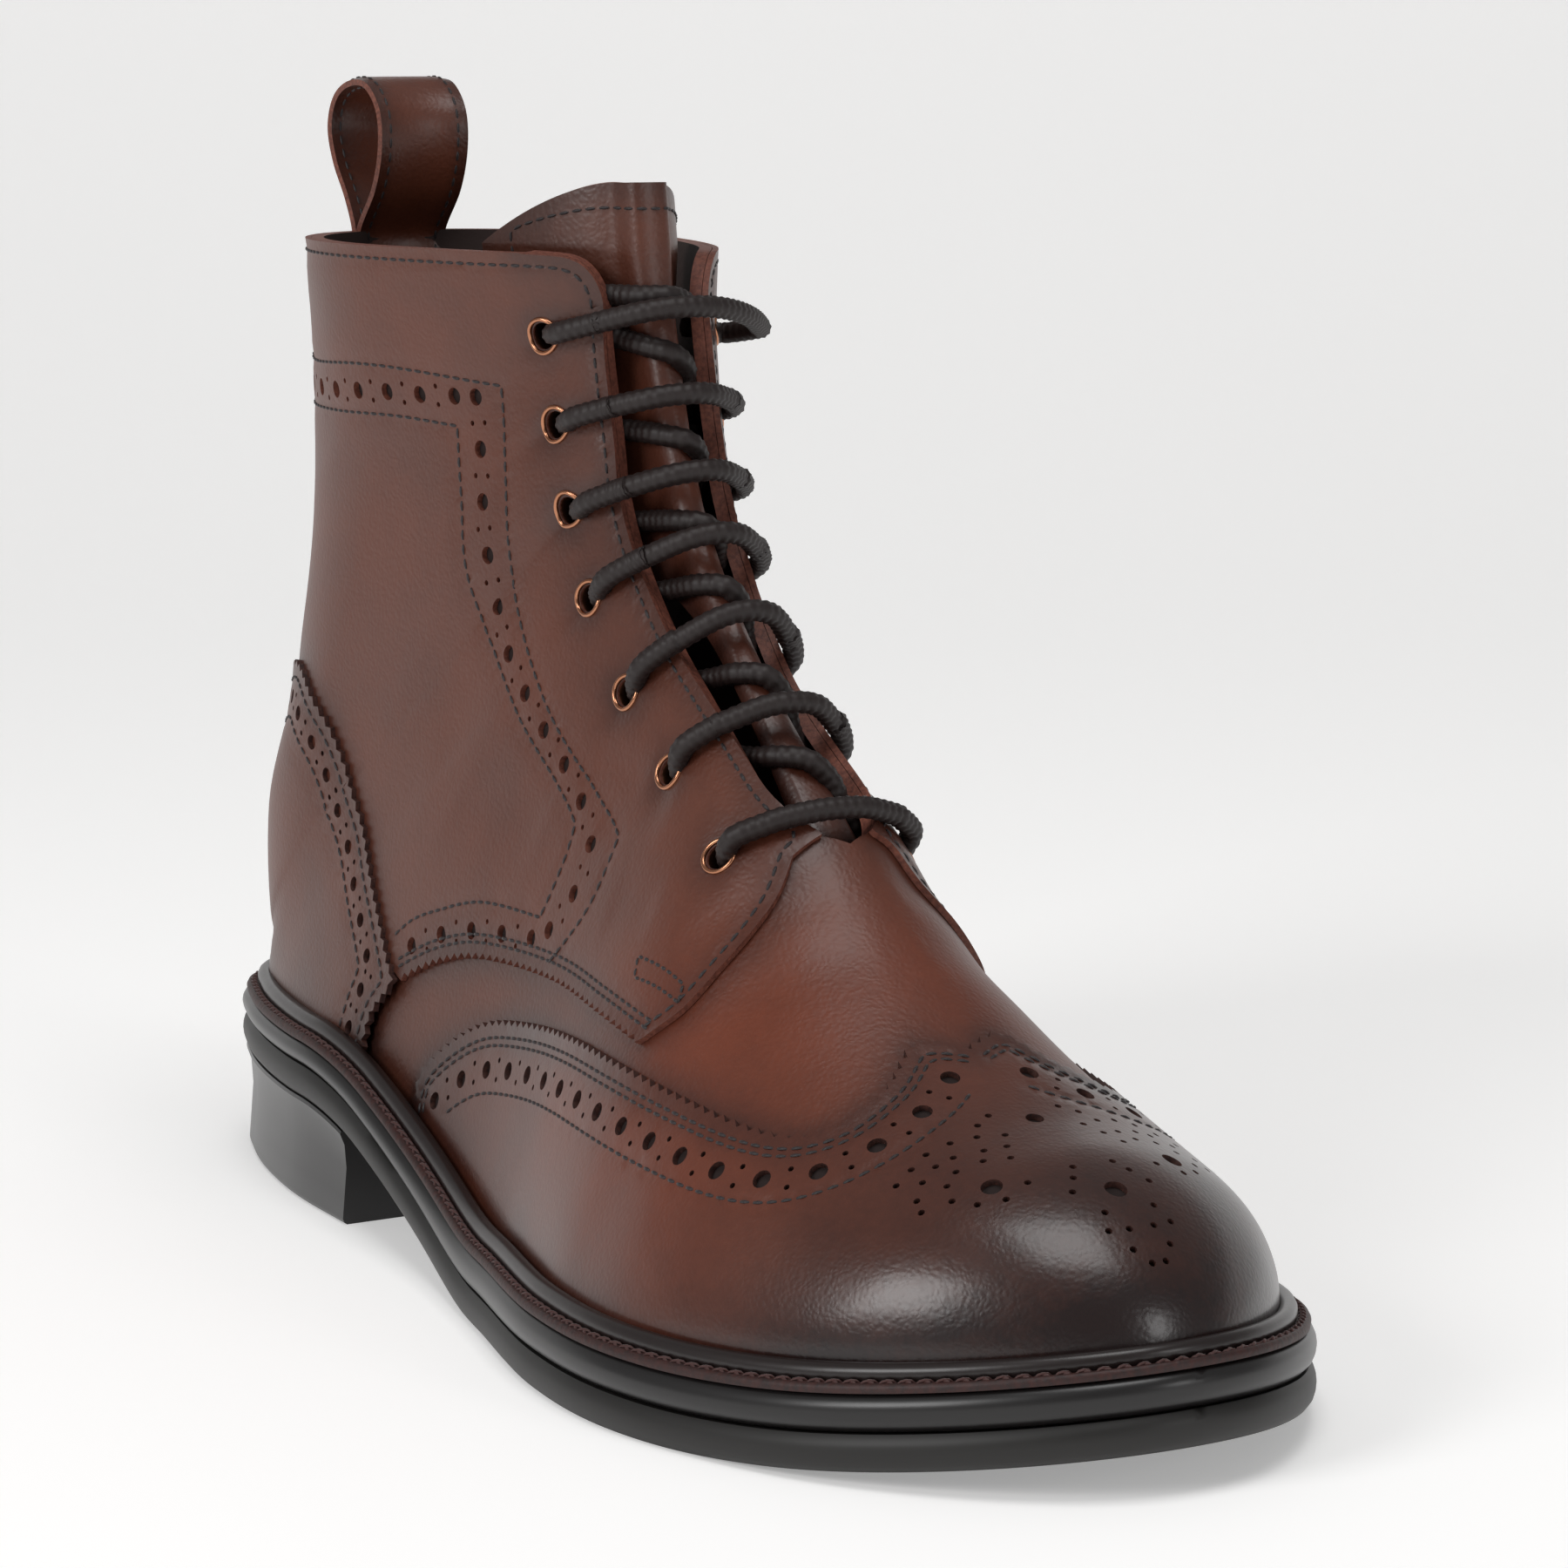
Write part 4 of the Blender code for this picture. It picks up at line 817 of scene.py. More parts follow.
# The two quarters
quarter = {"low": 0.0001, "high": 0.0012, "edgeRow": 0.0021, "footRows": (0.0018, 0.0032),
           "bandPitch": 0.0097, "archPitch": 0.0110, "zipHalf": 0.0040}
quarterPatches = {}
for side in (-1, 1):
    tipLine = drawnLine(quarterTip, side)
    footLine = drawnLine(quarterFoot, side)
    throat = throatLine(5.52, topRow, side)
    collar = collarLine(throat[-1, 1], side * 0.9985)
    front = evenly(np.vstack([throat[::-1], tipLine[1:]]), spacing["line"])
    dyedAndShadedEdges += [bare(front), bare(footLine)]
    lift = quarter["high"]
    run = evenly(np.vstack([collar[::-1], front]), spacing["line"])
    grooves = [sewn(parallel(run, quarter["edgeRow"]), lift)]
    grooves += [sewn(parallel(footLine, distance), lift) for distance in quarter["footRows"]]
    for points in (bandOuter, bandInner, archUpper, topUpper, topLower):
        row = drawnLine(points, side)
        if side > 0 and points in (topUpper, topLower):
            crossing = 1 - np.abs(row[:, 1])
            split = np.array([zipHeight(max(r, zipFoot)) for r in row[:, 0]])
            for part in (row[crossing > split + 0.055], row[crossing < split - 0.045]):
                grooves.append(sewn(part, lift))
            continue
        row = row[np.abs(row[:, 1]) < 0.996]
        grooves.append(stitched(row, lift))
    facingEyelets = eyeletCharts[:7] if side < 0 else eyeletCharts[7:]
    holes = [punch(spot, boot["eyeletHole"], 20) for spot in facingEyelets]
    holes += broguing(drawnLine(bandHoles, side), quarter["bandPitch"], skip=0.0)
    holes += broguing(drawnLine(archHoles, side), quarter["archPitch"], skip=0.15)
    row = drawnLine(topHoles, side)
    if side > 0:
        crossing = 1 - np.abs(row[:, 1])
        split = np.array([zipHeight(max(r, zipFoot)) for r in row[:, 0]])
        holes += broguing(row[crossing > split + 0.075][:-4], quarter["bandPitch"], skip=0.1)
        holes += broguing(row[(crossing < split - 0.06) & (crossing > 0.02)], quarter["bandPitch"], skip=0.1)
    else:
        row = row[np.abs(row[:, 1]) < 0.985]
        holes += broguing(row[:-4], quarter["bandPitch"], skip=0.1)
    under = drawnLine(((10.25, 0.262), (10.9, 0.30), (12.0, 0.36), (13.3, 0.385), (14.0, 0.34), (14.7, 0.24),
                       (14.85, 0.12), (14.9, 0.0015)), side)
    seam = alongRows(14.9, topRow, side * 0.9985, 100)
    parts = [front, pinked(footLine, -1), under[1:], seam[1:], collar[::-1][1:]]
    if side > 0:
        rows = np.linspace(topRow, zipFoot, 60)
        middle, wide = zipPlaces(rows, quarter["zipHalf"])
        ahead = np.column_stack([rows, 1 - middle - wide])
        behind = np.column_stack([rows, 1 - middle + wide])
        dyedAndShadedEdges += [bare(ahead), bare(behind)]
        for distance, line in ((-0.0016, ahead), (-0.0062, ahead), (0.0016, behind)):
            grooves.append(sewn(parallel(line, distance)[2:-1], lift))
        slit = np.vstack([evenly(behind, spacing["line"]), evenly(ahead, spacing["line"])[::-1]])
        turned = collar[::-1]
        rear = turned[turned[:, 1] > behind[0, 1]]
        fore = turned[turned[:, 1] < ahead[0, 1]]
        parts = parts[:-1] + [rear[1:], slit, fore]
    quarterPatches[side] = cut(joined(*parts), holes, grooves)
for side in (-1, 1):
    for points in (((6.48, 0.571), (5.53, 0.617)), ((6.36, 0.553), (5.44, 0.600)),
                   ((6.48, 0.571), (6.36, 0.553)), ((5.53, 0.617), (5.44, 0.600))):  # bar tack
        stitchRuns.append((evenly(onSide(points, side), 0.0018), quarter["high"] + 0.00015))
print("quarters cut", [len(p[1]) for p in quarterPatches.values()])

worn(shell("wingtip", [toePatch], toe["low"], toe["high"], [toeLeather, liningLeather, darkEdge]),
     "toe_cap", slot="calf_dark")
worn(shell("heel counter", counterPatches, counter["low"], counter["high"],
           [quarterLeather, liningLeather, darkEdge]), "counter", slot="calf")
for side, node in ((-1, "quarter_lateral"), (1, "quarter_medial")):
    worn(shell(node.replace("_", " "), [quarterPatches[side]], quarter["low"], quarter["high"],
               [quarterLeather, liningLeather, cutEdge]), node, slot="calf")

# The upper under the panels: the vamp shows between them, the lining inside
outline = joined(alongRows(topRow, heelRow, -1), alongRows(heelRow, 0.0, -1), alongRows(0.0, heelRow, 1),
                 alongRows(heelRow, topRow, 1), collarLine(1.0, throatLine(17, topRow, 1)[-1, 1]),
                 evenly(throatLine(throatRow, topRow, 1)[::-1], spacing["line"]),
                 evenly(throatLine(throatRow, topRow, -1), spacing["line"]),
                 collarLine(throatLine(17, topRow, -1)[-1, 1], -1.0))
vampPatch = cut(outline, [punch(spot, boot["eyeletHole"], 20) for spot in eyeletCharts])
worn(shell("vamp and lining", [vampPatch], -boot["wall"], 0.0, [quarterLeather, liningLeather, cutEdge]),
     "upper", slot="calf")
print("upper done")


def joinedMesh(name, pieces, finish, angle=60.0, body="boot", nodes=(), slot=None):
    points, faces, at = [], [], 0
    for spots, cells in pieces:
        points.append(spots)
        faces += [[v + at for v in cell] for cell in cells]
        at += len(spots)
    return worn(finished(name, np.vstack(points), faces, [finish], angle=angle), *nodes, slot=slot, body=body)


def discs():  # dark backing leather and painted shade at the bottom of every punched hole
    pieces = []
    for spot, radius in holePlaces:
        ring = punch(spot, radius + 0.0003, 12)
        pieces.append((place(ring, 0.00005), [list(range(12))]))
    return pieces


joinedMesh("hole backing and painted shade", discs(), shadowLeather)


def stitches():
    # each stitch is a short thick thread that dives in at both ends
    profile = ((-0.5, 0.15, -0.0002), (-0.38, 0.75, 0.00002), (0.0, 1.0, 0.00012), (0.38, 0.75, 0.00002),
               (0.5, 0.15, -0.0002))
    pieces = []
    sides = 6
    for line, lift in stitchRuns:
        spots = place(line, lift - 0.00018)
        normals = outward(line)
        for a, b, normal in zip(spots[:-1], spots[1:], (normals[:-1] + normals[1:]) / 2):
            run = (b - a) * 0.80
            middle = (a + b) / 2
            across = np.cross(normal, run)
            across /= np.linalg.norm(across) + 1e-12
            ring = []
            for along, thick, rise in profile:
                for k in range(sides):
                    angle = 2 * math.pi * k / sides
                    ring.append(middle + run * along + normal * (rise + 0.00022 * thick * math.sin(angle))
                                + across * 0.00030 * thick * math.cos(angle))
            pieces.append((np.array(ring), bands(len(profile), sides)))
    return pieces


joinedMesh("seam stitches", stitches(), threadDark)
print("stitches done")


# The sole, built from levels: inset from the sole's edge and height at each station
def rungs(count, distance, last=1.0):
    outer, inner = halves(inset(outerLoop, distance))
    spread = (1 - np.cos(np.pi * np.linspace(0, 1, count))) / 2
    x = outer[0, 0] + (min(last * boot["length"], outer[-1, 0]) - outer[0, 0]) * spread
    return x, np.interp(x, outer[:, 0], outer[:, 1]), np.interp(x, inner[:, 0], inner[:, 1])


def ladder(levels, count=150, last=1.0):
    points = []
    for distance, height in levels:
        x, outer, inner = rungs(count, distance, last)
        z = np.broadcast_to(height(x), x.shape)
        points.append(np.stack([np.append(x, x[::-1]), np.append(outer, inner[::-1]),
                                np.append(z, z[::-1])], 1))
    size = 2 * count
    faces = []
    for level in range(len(levels) - 1):
        for i in range(size):
            a, b = level * size + i, level * size + (i + 1) % size
            faces.append([a, b, b + size, a + size])
    for base, turn in ((0, -1), ((len(levels) - 1) * size, 1)):
        for i in range(count - 1):
            faces.append([base + i, base + i + 1, base + size - 2 - i, base + size - 1 - i][::turn])
    return np.vstack(points), faces


def bulge(deep, steps=6):  # a rounded edge, as levels of (inset, share of the height)
    return [(deep * (1 - math.sin(math.pi * k / steps) ** 0.6), k / steps) for k in range(steps + 1)]


def layer(foot, top, levels):
    return [(distance, lambda x, s=share: foot(x) + s * (top(x) - foot(x))) for distance, share in levels]


def outsoleTop(x):
    return soleBottom(x) + boot["outsole"] - 0.0002


worn(finished("outsole", *ladder(layer(soleBottom, outsoleTop, bulge(0.0012))), [mattRubber], angle=50),
     "outsole", slot="rubber_sole")
worn(finished("midsole", *ladder(layer(lambda x: outsoleTop(x) + 0.0003, soleTop, bulge(0.0016))),
              [glossRubber], angle=50), "midsole", slot="rubber_sole")
heelLevels = [(0.0016, 0.0), (0.0011, 0.02), (0.0008, 0.06), (0.0012, 0.3), (0.0017, 0.6), (0.0014, 0.85),
              (0.0006, 0.97), (0.0008, 1.0)]
worn(finished("heel block", *ladder(layer(lambda x: 0 * x, lambda x: soleBottom(x) - 0.0001, heelLevels),
                                    count=90, last=boot["heelLength"] / boot["length"]), [glossRubber], angle=35),
     "heel", slot="rubber_sole")
worn(finished("insole", *ladder(layer(lambda x: soleTop(x) + 0.0003, lambda x: soleTop(x) + 0.0033,
                                      [(0.0119, 0.0), (0.0119, 0.9), (0.0124, 1.0)]), count=80), [insoleLeather]),
     "insole", slot="lining_leather")


def around(profile, loop):
    rings = []
    for distance, height in profile:
        ring = inset(loop, distance)
        rings.append(np.column_stack([ring, soleTop(ring[:, 0]) + height]))
    count = len(loop)
    sides = len(profile)
    faces = [[k * count + i, (k + 1) % sides * count + i, (k + 1) % sides * count + (i + 1) % count,
              k * count + (i + 1) % count] for k in range(sides) for i in range(count)]
    return np.vstack(rings), faces


fineLoop = soleOutline(30)
strip = [(0.0010, 0.0001), (0.0009, 0.0008), (0.0012, 0.0014), (0.0016, 0.0016), (0.0032, 0.0015),
         (0.0034, 0.0002)]
worn(finished("welt", *around(strip, fineLoop), [weltLeather], angle=50), "welt", slot="welt_leather")
angles = np.linspace(-0.35 * math.pi, 1.25 * math.pi, 12)
bead = [(0.0047 - 0.0017 * math.cos(a), 0.0024 + 0.0019 * math.sin(a)) for a in angles]
bead += [(0.0062, 0.0002), (0.0040, 0.0002)]
worn(finished("storm bead", *around(bead[::-1], fineLoop), [beadLeather], angle=60), slot="welt_leather")


def weltSeam():
    # slanted thick stitches side by side along the welt
    loop = inset(fineLoop, 0.0023)
    closed = np.vstack([loop, loop[:1]])
    run = runLength(closed)
    spots = sampled(closed, run, np.arange(0, run[-1], 0.0030))
    ahead = np.roll(spots, -1, axis=0) - spots
    ahead /= np.linalg.norm(ahead, axis=1)[:, None]
    across = np.column_stack([-ahead[:, 1], ahead[:, 0]])
    pieces = []
    for turn in (-1, 1):
        for spot, front, wide in zip(spots, ahead, across):
            direction = front * 0.0013 + turn * wide * 0.00062
            ring = []
            for share, thick in ((-1, 0.25), (-0.6, 0.8), (0, 1.0), (0.6, 0.8), (1, 0.25)):
                middle = spot + direction * share
                z = float(soleTop(np.array(middle[0]))) + 0.00165 + (0.00018 if turn > 0 else 0)
                for k in range(6):
                    angle = math.pi * k / 3
                    side = np.array([-direction[1], direction[0]])
                    side /= np.linalg.norm(side)
                    flatMove = side * 0.00030 * thick * math.cos(angle)
                    level = z + 0.00030 * thick * math.sin(angle) - 0.0004 * abs(share) ** 3
                    ring.append((*(middle + flatMove), level))
            pieces.append((np.array(ring), bands(5, 6)))
    return pieces


joinedMesh("welt seam", weltSeam(), weltThread)
print("sole done")


def thick(name, outside, insideSheet, finishes, angle=50.0, values=None):
    count, wide = outside.shape[:2]
    total = count * wide
    cells = [[i, i + 1, i + wide + 1, i + wide] for i in range(total - wide) if (i + 1) % wide]
    faces = cells + [[v + total for v in cell[::-1]] for cell in cells]
    rim = [i for i in range(wide)] + [k * wide + wide - 1 for k in range(1, count)]
    rim += [total - 1 - i for i in range(1, wide)] + [k * wide for k in range(count - 2, 0, -1)]
    faces += [[b, a, a + total, b + total] for a, b in zip(rim, rim[1:] + rim[:1])]
    slots = [0] * len(cells) + [1] * len(cells) + [2] * len(rim)
    return finished(name, np.vstack([outside.reshape(-1, 3), insideSheet.reshape(-1, 3)]), faces, finishes, slots,
                    angle, values)


# Tongue: under the facings it lies deeper, so that the lace passes between
def tongueSheet(lift):
    rows = np.append(np.linspace(4.6, topRow, 90), np.full(12, topRow))
    rise = np.append(np.zeros(90), np.linspace(0, 1, 13)[1:])
    share = np.linspace(-1, 1, 61)
    width = 0.10 + 0.26 * smooth((rows - 6.0) / 11.0)
    q = width[:, None] * share[None]
    chart = np.column_stack([np.repeat(rows, 61), q.ravel()])
    solid, normal = bare(chart), outward(chart)
    away = np.abs(solid[:, 1] - centreLine(solid[:, 0]))
    deep = -0.0028 - 0.0032 * smooth((away - 0.0035) / 0.006) * smooth((chart[:, 0] - 5.2) / 0.8)
    points = solid + normal * (deep + lift)[:, None]
    lean = surface(topRow, 1.0, -1) - surface(topRow - 0.5, 1.0, -1)
    lean = lean / lean[2]
    up = 0.0125 * rise[:, None] * (1 - np.abs(share) ** 2.6)[None]
    points = points + up.reshape(-1, 1) * lean
    return points.reshape(102, 61, 3), chart


outside, chart = tongueSheet(0.0)
under, _ = tongueSheet(-0.0022)
solid = outside.reshape(-1, 3)
edges = np.vstack([outside[-1], outside[:, 0], outside[:, -1]])
throatSides = np.vstack([bare(throatLine(5.5, topRow, s)) for s in (-1, 1)])
# darker at the tongue's cut edges (burnish), and painted shade where it runs under the facings
darkening = 0.22 + 0.45 * nearEdges(solid, edges, 0.005) + 0.45 * nearEdges(solid, throatSides, 0.005)
darkening = np.clip(darkening, 0, 0.9).reshape(102, 61)[::-1].ravel()
worn(thick("tongue", outside[::-1], under[::-1], [quarterLeather, liningLeather, cutEdge],
           values={"burnish_and_shade": np.tile(darkening, 2), "warm": np.full(2 * len(darkening), 0.1)}), "tongue", slot="calf")


# Tubes for the lace, the eyelets and the zip
def tube(path, radius, sides=12, closed=False, flatten=1.0):
    path = np.asarray(path, float)
    run = (np.roll(path, -1, axis=0) - np.roll(path, 1, axis=0)) if closed else np.gradient(path, axis=0)
    run /= np.linalg.norm(run, axis=1)[:, None]
    side = np.cross(run[0], (0.0, 0.0, 1.0) if abs(run[0][2]) < 0.9 else (1.0, 0.0, 0.0))
    radius = np.broadcast_to(radius, len(path))
    points = []
    for at, along, wide in zip(path, run, radius):
        side = side - along * side.dot(along)
        side /= np.linalg.norm(side)
        up = np.cross(along, side)
        for k in range(sides):
            angle = 2 * math.pi * k / sides
            points.append(at + wide * (side * math.cos(angle) + flatten * up * math.sin(angle)))
    count = len(path)
    faces = bands(count, sides, closed)
    if not closed:
        faces += [list(range(sides))[::-1], list(range((count - 1) * sides, count * sides))]
    return np.array(points), faces


def overThroat(offsets, firstRow, lastRow, lifts):
    # points over the throat, straight along it between the first row and the last
    ends = []
    for offset, row in ((offsets[0], firstRow), (offsets[-1], lastRow)):
        side = -1 if offset < 0 else 1
        ends.append(surface(row, heightAt(row, abs(offset), side), side))
    middle = (firstRow + lastRow) / 2
    along = surface(middle + 0.5, 1.0, 1) - surface(middle - 0.5, 1.0, 1)
    along /= np.linalg.norm(along)
    near = np.linspace(max(min(firstRow, lastRow) - 2.5, 0.5), min(max(firstRow, lastRow) + 1.0, topRow), 15)
    path = []
    for share, offset, lift in zip(np.linspace(0, 1, len(offsets)), offsets, lifts):
        side = -1 if offset < 0 else 1
        points = np.array([surface(row, heightAt(row, abs(offset), side), side) for row in near])
        reached = ends[0].dot(along) * (1 - share) + ends[1].dot(along) * share
        row = float(np.interp(reached, points @ along, near))
        spot = np.array([[row, side * (1 - heightAt(row, abs(offset), side))]])
        path.append(bare(spot)[0] + lift * outward(spot)[0])
    return np.array(path)


def braid(path, radius):
    # a round braided cord: strands show as a fine diamond relief
    path = rounded(path, 10, closed=False)
    run = runLength(path)
    at = np.linspace(0, run[-1], int(run[-1] / 0.00034) + 2)
    path = sampled(path, run, at)
    points, faces = tube(path, radius, sides=20)
    middle = np.repeat(path, 20, axis=0)
    angle = np.tile(2 * math.pi * np.arange(20) / 20, len(path))
    length = np.repeat(at, 20)
    turn = length * 2 * math.pi / 0.0034
    weave = np.sin(5 * angle + turn) * np.sin(5 * angle - turn)
    return middle + (points - middle) * (1 + 0.10 * np.sign(weave) * np.abs(weave) ** 0.6)[:, None], faces


offsetOf = [abs(spot[1] - float(centreLine(spot[0]))) for spot in eyeletSpots]
radius = boot["lace"]
bars, crosses = [], []
for number, row in enumerate(eyeletRows):
    a, b = offsetOf[number], offsetOf[number + 7]
    high = quarter["high"] + radius + 0.0003
    offsets = np.array([-a - 0.0002, -a, -a + 0.0009, -a + 0.0026, -a + 0.006, -0.0090, -0.004, 0, 0.004, 0.0090,
                        b - 0.006, b - 0.0026, b - 0.0009, b, b + 0.0002])
    lifts = np.array([-0.0052, -0.0022, 0.0010, high + 0.0002, high, high - 0.0001, high - 0.0006, high - 0.0008,
                      high - 0.0006, high - 0.0001, high, high + 0.0002, 0.0010, -0.0022, -0.0052])
    if number == 0:  # the top run is slack: it bows out past the inner facing before it goes in
        offsets = np.array([-a - 0.0002, -a, -a + 0.0009, -a + 0.0026, -a + 0.006, -0.0090, -0.004, 0, 0.005,
                            0.0105, 0.0155, b + 0.0005, b + 0.0025, b + 0.0008, b])
        lifts = np.array([-0.0052, -0.0022, 0.0010, high + 0.0002, high, high, high + 0.0006, high + 0.0012,
                          high + 0.0022, high + 0.0040, high + 0.0055, high + 0.0050, 0.0026, -0.0010, -0.0045])
    bars.append(braid(overThroat(offsets, row, row, lifts), radius))
offsets = np.array([-0.0150, -0.0110, -0.0080, -0.0045, 0, 0.0045, 0.0080, 0.0110, 0.0150])
lifts = np.array([-0.0042, -0.0042, -0.0040, -0.0022, -0.0010, -0.0022, -0.0040, -0.0042, -0.0042])
for number in range(6):
    crosses.append(braid(overThroat(offsets, eyeletRows[number], eyeletRows[number + 1], lifts), radius))
crosses.append(braid(overThroat(offsets, eyeletRows[0] + 0.55, eyeletRows[0] + 0.15, lifts + 0.0012), radius))
for number, (points, faces) in enumerate(bars):
    worn(finished("lace run {}".format(number + 1), points, faces, [laceCord], angle=70),
         "lace_bar_{}".format(number + 1), slot="waxed_cord")
for number, (points, faces) in enumerate(crosses):
    nodes = ("lace_cross_{}".format(number + 1),) if number < 6 else ()
    worn(finished("lace crossing {}".format(number + 1), points, faces, [laceCord], angle=70), *nodes,
         slot="waxed_cord")

# Eyelets: a thin rolled ring with a dark barrel through the leather
for number, chartSpot in enumerate(eyeletCharts):
    side, index = ("lateral", number + 1) if number < 7 else ("medial", number - 6)
    high, low = quarter["high"], -boot["wall"]
    ring = punch(chartSpot, boot["eyeletRing"], 40)
    points, rolledFaces = tube(place(ring, high + 0.0001), 0.00042, sides=10, closed=True)
    levels = [place(punch(chartSpot, r, 40), lift) for r, lift in (
        (boot["eyeletRing"], high + 0.0002), (0.0025, high - 0.0001), (0.0023, high - 0.0007), (0.0022, 0.0),
        (0.0022, low - 0.0002), (0.0027, low - 0.0004))]
    faces = bands(len(levels), 40)
    total = len(points)
    slots = [0] * len(rolledFaces) + [1] * len(faces)
    made = finished("eyelet {} {}".format(side, index), np.vstack([points, *levels]),
                    rolledFaces + [[v + total for v in face] for face in faces], [brass, brassDark], slots, 60)
    worn(made, "eyelet_{}_{}".format(side, index), slot="antique_brass")
print("lace and eyelets done")

# Pull loop: a folded strap with a row of stitches near each edge
loop = {"height": 0.028, "halfWidth": 0.009, "halfThick": 0.0010}
loopShape = ((-0.04, -0.20), (-0.04, 0.00), (-0.16, 0.22), (-0.34, 0.45), (-0.42, 0.68), (-0.32, 0.88),
             (-0.08, 0.98), (0.20, 0.97), (0.40, 0.80), (0.42, 0.55), (0.30, 0.28), (0.04, 0.00), (0.04, -0.20))
profile = rounded(np.array(loopShape) * loop["height"], 8, closed=False)
base = surface(topRow, 0.0, -1) + (boot["wall"] / 2 - 0.0006, 0.0, 0.0003)
across = np.linspace(-loop["halfWidth"], loop["halfWidth"], 21)
edge = surface(np.full(60, topRow), np.linspace(0, 0.4, 60), -1)
bend = np.interp(np.abs(across), np.abs(edge[:, 1] - base[1]), edge[:, 0]) - edge[0, 0]
sheet = np.empty((len(profile), 21, 3))
sheet[..., 0] = base[0] + profile[:, :1] + bend
sheet[..., 1] = base[1] + across
sheet[..., 2] = base[2] + profile[:, 1:]
normals = np.cross(np.gradient(sheet, axis=1), np.gradient(sheet, axis=0))
normals /= np.linalg.norm(normals, axis=-1, keepdims=True)
half = loop["halfThick"] * np.clip(1.15 - np.abs(across / loop["halfWidth"]) ** 8, 0.55, 1.0)[None, :, None]
edges = np.vstack([sheet[:, 0], sheet[:, -1]])
darkening = np.clip(0.12 + 0.5 * nearEdges(sheet.reshape(-1, 3), edges, 0.003), 0, 0.9)
worn(thick("pull loop", sheet - normals * half, sheet + normals * half,
           [quarterLeather, quarterLeather, cutEdge],
           values={"burnish_and_shade": np.tile(darkening, 2), "warm": np.full(2 * len(darkening), 0.2)}), "pull_loop", slot="calf")


def threads(line, pitch, thickness):  # short stitches along a line of points, thinner at both ends
    run = runLength(line)
    radii = np.array([0.00012, thickness, thickness, 0.00012])
    return [tube(sampled(line, run, start + np.array([-0.0009, -0.0004, 0.0004, 0.0009])), radii, sides=6)
            for start in np.arange(0.001, run[-1], pitch)]


pieces = []
for column in (2, 18):
    for face in (-1, 1):
        pieces += threads(sheet[:, column] + face * normals[:, column] * 0.00095, 0.0027, 0.00026)
joinedMesh("loop stitches", pieces, threadDark)

# Tongue's edge stitching
line = outside[96, 4:57] * 0.35 + outside[97, 4:57] * 0.65
side = outside[60:96, 4]
other = outside[60:96, 56]
trail = np.vstack([side, line[1:-1], other[::-1]])
ahead = surface(topRow, 1.0, -1) - surface(topRow - 0.5, 1.0, -1)
forward = np.array([ahead[2], 0.0, -ahead[0]]) / np.linalg.norm(ahead)
joinedMesh("tongue stitches", threads(trail + forward * 0.0001, 0.0026, 0.00028), threadDark)

# The zip: tape, coil teeth, slider and its pull
rows = np.linspace(zipFoot + 0.05, topRow, 160)
middle, wide = zipPlaces(rows, 0.0036)
share = np.linspace(-1, 1, 5)
chart = np.column_stack([np.repeat(rows, 5), (1 - middle[:, None] - wide[:, None] * share[None]).ravel()])
top = place(chart, 0.0006).reshape(160, 5, 3)
bottom = place(chart, 0.0002).reshape(160, 5, 3)
worn(thick("zip tape", top, bottom, [tapeCloth, tapeCloth, tapeCloth]), "zip_chain", slot="zip_coil")
spine = evenly(np.column_stack([rows, 1 - middle]), 0.0011)
solid = place(spine, 0.0011)
normals = outward(spine)
run = np.gradient(solid, axis=0)
run /= np.linalg.norm(run, axis=1)[:, None]
pieces = []
for at, normal, along in zip(solid, normals, run):
    over = np.cross(normal, along)
    for turn in (-1, 1):
        path = [at + over * turn * x + normal * z + along * turn * 0.0002 for x, z in (
            (0.0016, -0.0003), (0.0012, 0.0003), (0.0006, 0.0005), (0.0, 0.0002))]
        pieces.append(tube(path, 0.00036, sides=6))
joinedMesh("zip coil", pieces, coilNylon, slot="zip_coil")

level = boot["collarHeight"] - 0.75 * 0.0095
line = np.array([surface(r, zipHeight(r), 1) for r in rows])
row = float(np.interp(level, line[:, 2], rows))
out = facing(row, zipHeight(row), 1) * (1, 1, 0)
out /= np.linalg.norm(out)
up = np.array((0.0, 0.0, 1.0))
acrossZip = np.cross(up, out)
seat = surface(row, zipHeight(row), 1)


def bevelled(outline, low, high, ease, onto):
    # a flat plate with eased edges; outline in metres along across and up
    ring = np.array(outline)
    centre = ring.mean(axis=0)
    levels = []
    for share, z in ((ease, low), (0.0, low + ease), (0.0, high - ease), (ease, high)):
        away = ring - centre
        levels.append((centre + away * (1 - share / np.abs(away).max()), z))
    points = np.vstack([[onto(x, y, z) for x, y in level] for level, z in levels])
    count = len(ring)
    faces = bands(4, count) + [list(range(count))[::-1], list(range(3 * count, 4 * count))]
    return points, faces


def onZip(x, y, z):
    return seat + acrossZip * x + up * y + out * z


sliderOutline = [(x * 0.0031, y * 0.00475) for x, y in (
    (-0.62, -1), (0.62, -1), (0.85, -0.6), (1, 0.2), (1, 0.75), (0.8, 1), (0.2, 0.8), (-0.2, 0.8), (-0.8, 1),
    (-1, 0.75), (-1, 0.2), (-0.85, -0.6))]
body = bevelled(sliderOutline, 0.0016, 0.0037, 0.0004, onZip)
arch = [onZip(0, y, z) for y, z in ((-0.0034, 0.0034), (-0.0034, 0.0056), (-0.0026, 0.0066), (0.0, 0.0067),
                                    (0.0026, 0.0066), (0.0034, 0.0056), (0.0034, 0.0034))]
joinedMesh("zip slider", [body, tube(rounded(arch, 4, closed=False), 0.0006, sides=10)], gunmetal, angle=40,
           nodes=("zip_slider",), slot="gunmetal")
leg, gap, wireRadius = 0.0009, 0.0003, 0.0006
pinUp = 0.00475 - leg - leg - leg
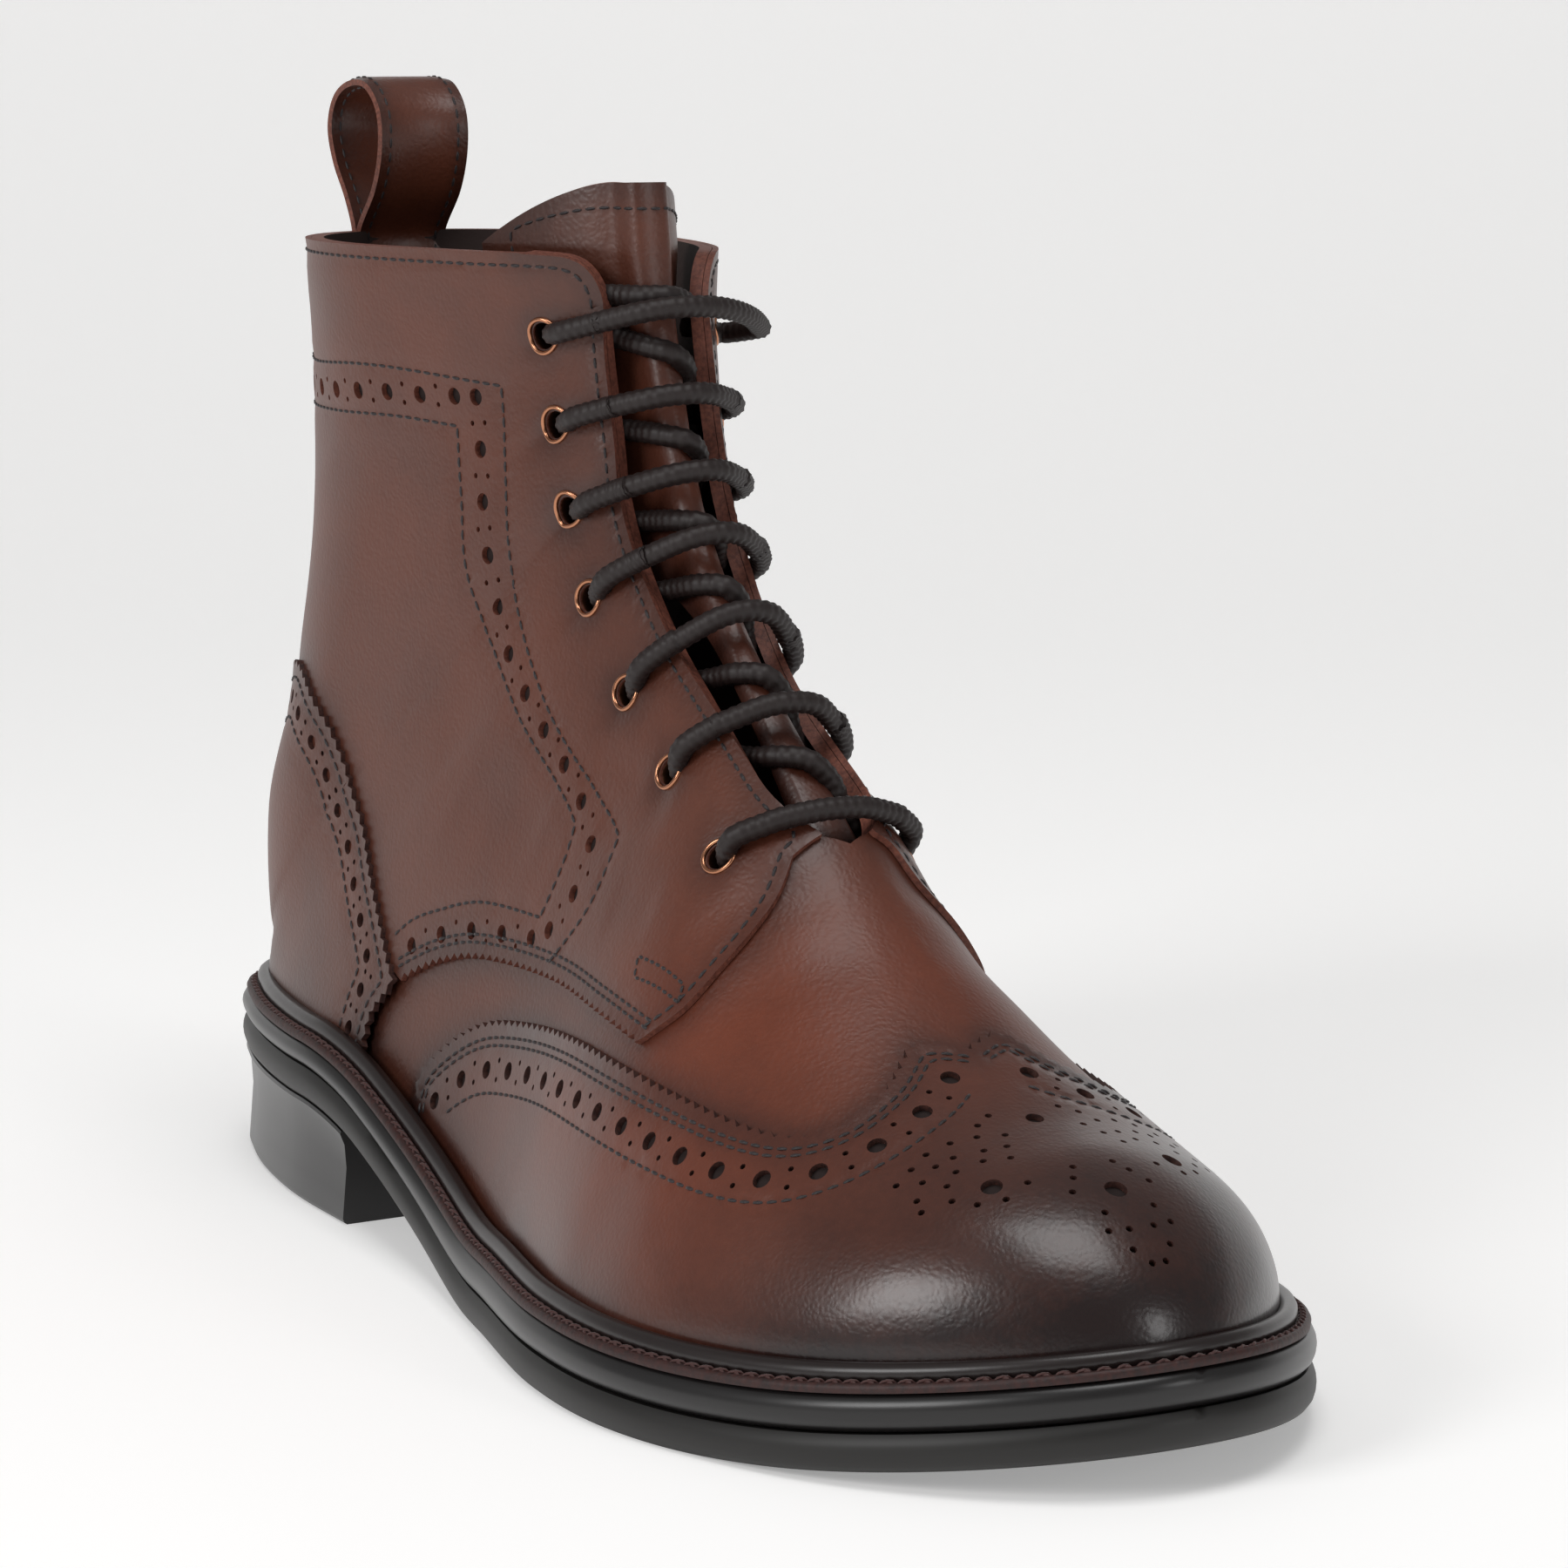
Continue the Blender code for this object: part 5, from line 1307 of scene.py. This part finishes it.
pinOut = 2 * gap + 0.0008 + gap + 0.0020 + wireRadius + 2 * gap  # over the coil and the slider's body


def onPull(x, y, z):
    return seat + acrossZip * x + up * (pinUp + y) + out * (pinOut + z)


wire = [onPull(x, y, 0) for x, y in (
    (-0.0010, 0.0), (0.0010, 0.0), (0.0021, -0.0008), (0.0021, -0.0040), (0.0021, -0.0095), (0.0021, -0.0112),
    (-0.0021, -0.0112), (-0.0021, -0.0095), (-0.0021, -0.0040), (-0.0021, -0.0008))]
tab = bevelled([(x * 0.0027, -0.0160 + y * 0.0060) for x, y in (
    (-0.85, -1), (0.85, -1), (1, -0.92), (1, 0.92), (0.85, 1), (-0.85, 1), (-1, 0.92), (-1, -0.92))],
    -0.0006, 0.0006, 0.0003, onPull)
joinedMesh("zip pull", [tube(rounded(wire, 4), wireRadius, sides=10, closed=True), tab], gunmetal, angle=40,
           body="pull_tab", nodes=("zip_pull",), slot="gunmetal")
print("zip done")

# Floor and soft studio light
away = np.array((-0.854, 0.520, 0.0))  # the way the camera looks, on the floor
across = np.array((0.520, 0.854, 0.0))
bow = [(0.9 + 0.7 * math.sin(a), 0.7 - 0.7 * math.cos(a)) for a in np.linspace(0, math.pi / 2, 24)]
curve = [(-3.0, 0.0)] + bow + [(1.6, 0.95)]
points = [away * x + across * y + (0, 0, z) for x, z in curve for y in (-5, 5)]
mesh = bpy.data.meshes.new("floor")
mesh.from_pydata([tuple(p) for p in points], [],
                 [(i, i + 1, i + 3, i + 2) for i in range(0, len(points) - 2, 2)])
mesh.materials.append(plain("pale studio floor", {"colour": "#f0efee", "rough": 0.9, "glow": 0.30}))
mesh.shade_smooth()
floor = bpy.data.objects.new("floor", mesh)
bpy.context.scene.collection.objects.link(floor)

world = bpy.data.worlds.new("studio")
world.use_nodes = True
world.node_tree.nodes["Background"].inputs["Color"].default_value = (1.0, 1.0, 1.0, 1.0)
world.node_tree.nodes["Background"].inputs["Strength"].default_value = 0.25
bpy.context.scene.world = world


def softbox(name, at, towards, size, power):
    light = bpy.data.lights.new(name, "AREA")
    light.shape = "RECTANGLE"
    light.size, light.size_y = size
    light.energy = power
    lamp = bpy.data.objects.new(name, light)
    lamp.location = at
    lamp.rotation_euler = (Vector(towards) - Vector(at)).to_track_quat("-Z", "Y").to_euler()
    bpy.context.scene.collection.objects.link(lamp)


softbox("left softbox", (0.25, -1.35, 0.80), (0.0, 0.0, 0.08), (0.6, 0.6), 9)
softbox("top softbox", (0.45, -0.1, 1.6), (0.05, 0.0, 0.06), (0.8, 0.8), 9)
softbox("front softbox", (1.5, 0.45, 0.5), (0.10, 0.0, 0.06), (0.35, 0.5), 2.5)

# Camera: stands where the photo's stood, shifted so that the one boot fills the frame
camera = bpy.data.cameras.new("camera")
view = bpy.data.objects.new("camera", camera)
bpy.context.scene.collection.objects.link(view)
eye = np.array((0.8830, -0.3771, 0.2191)) - origin
target = np.array((0.2641, 0.0, 0.1159)) - origin
view.location = eye
view.rotation_euler = (Vector(target) - Vector(eye)).to_track_quat("-Z", "Y").to_euler()
frameWide = 1345.0  # the part of the photo's 1800 that the frame keeps
camera.sensor_width = 36.0
camera.lens = 36.0 * 4139.0 / frameWide
camera.shift_x = (695.0 - 909.4) / frameWide
camera.shift_y = (1028.0 - 1105.0) / frameWide
camera.clip_start = 0.05
bpy.context.scene.camera = view
bpy.context.scene.view_settings.view_transform = "Standard"
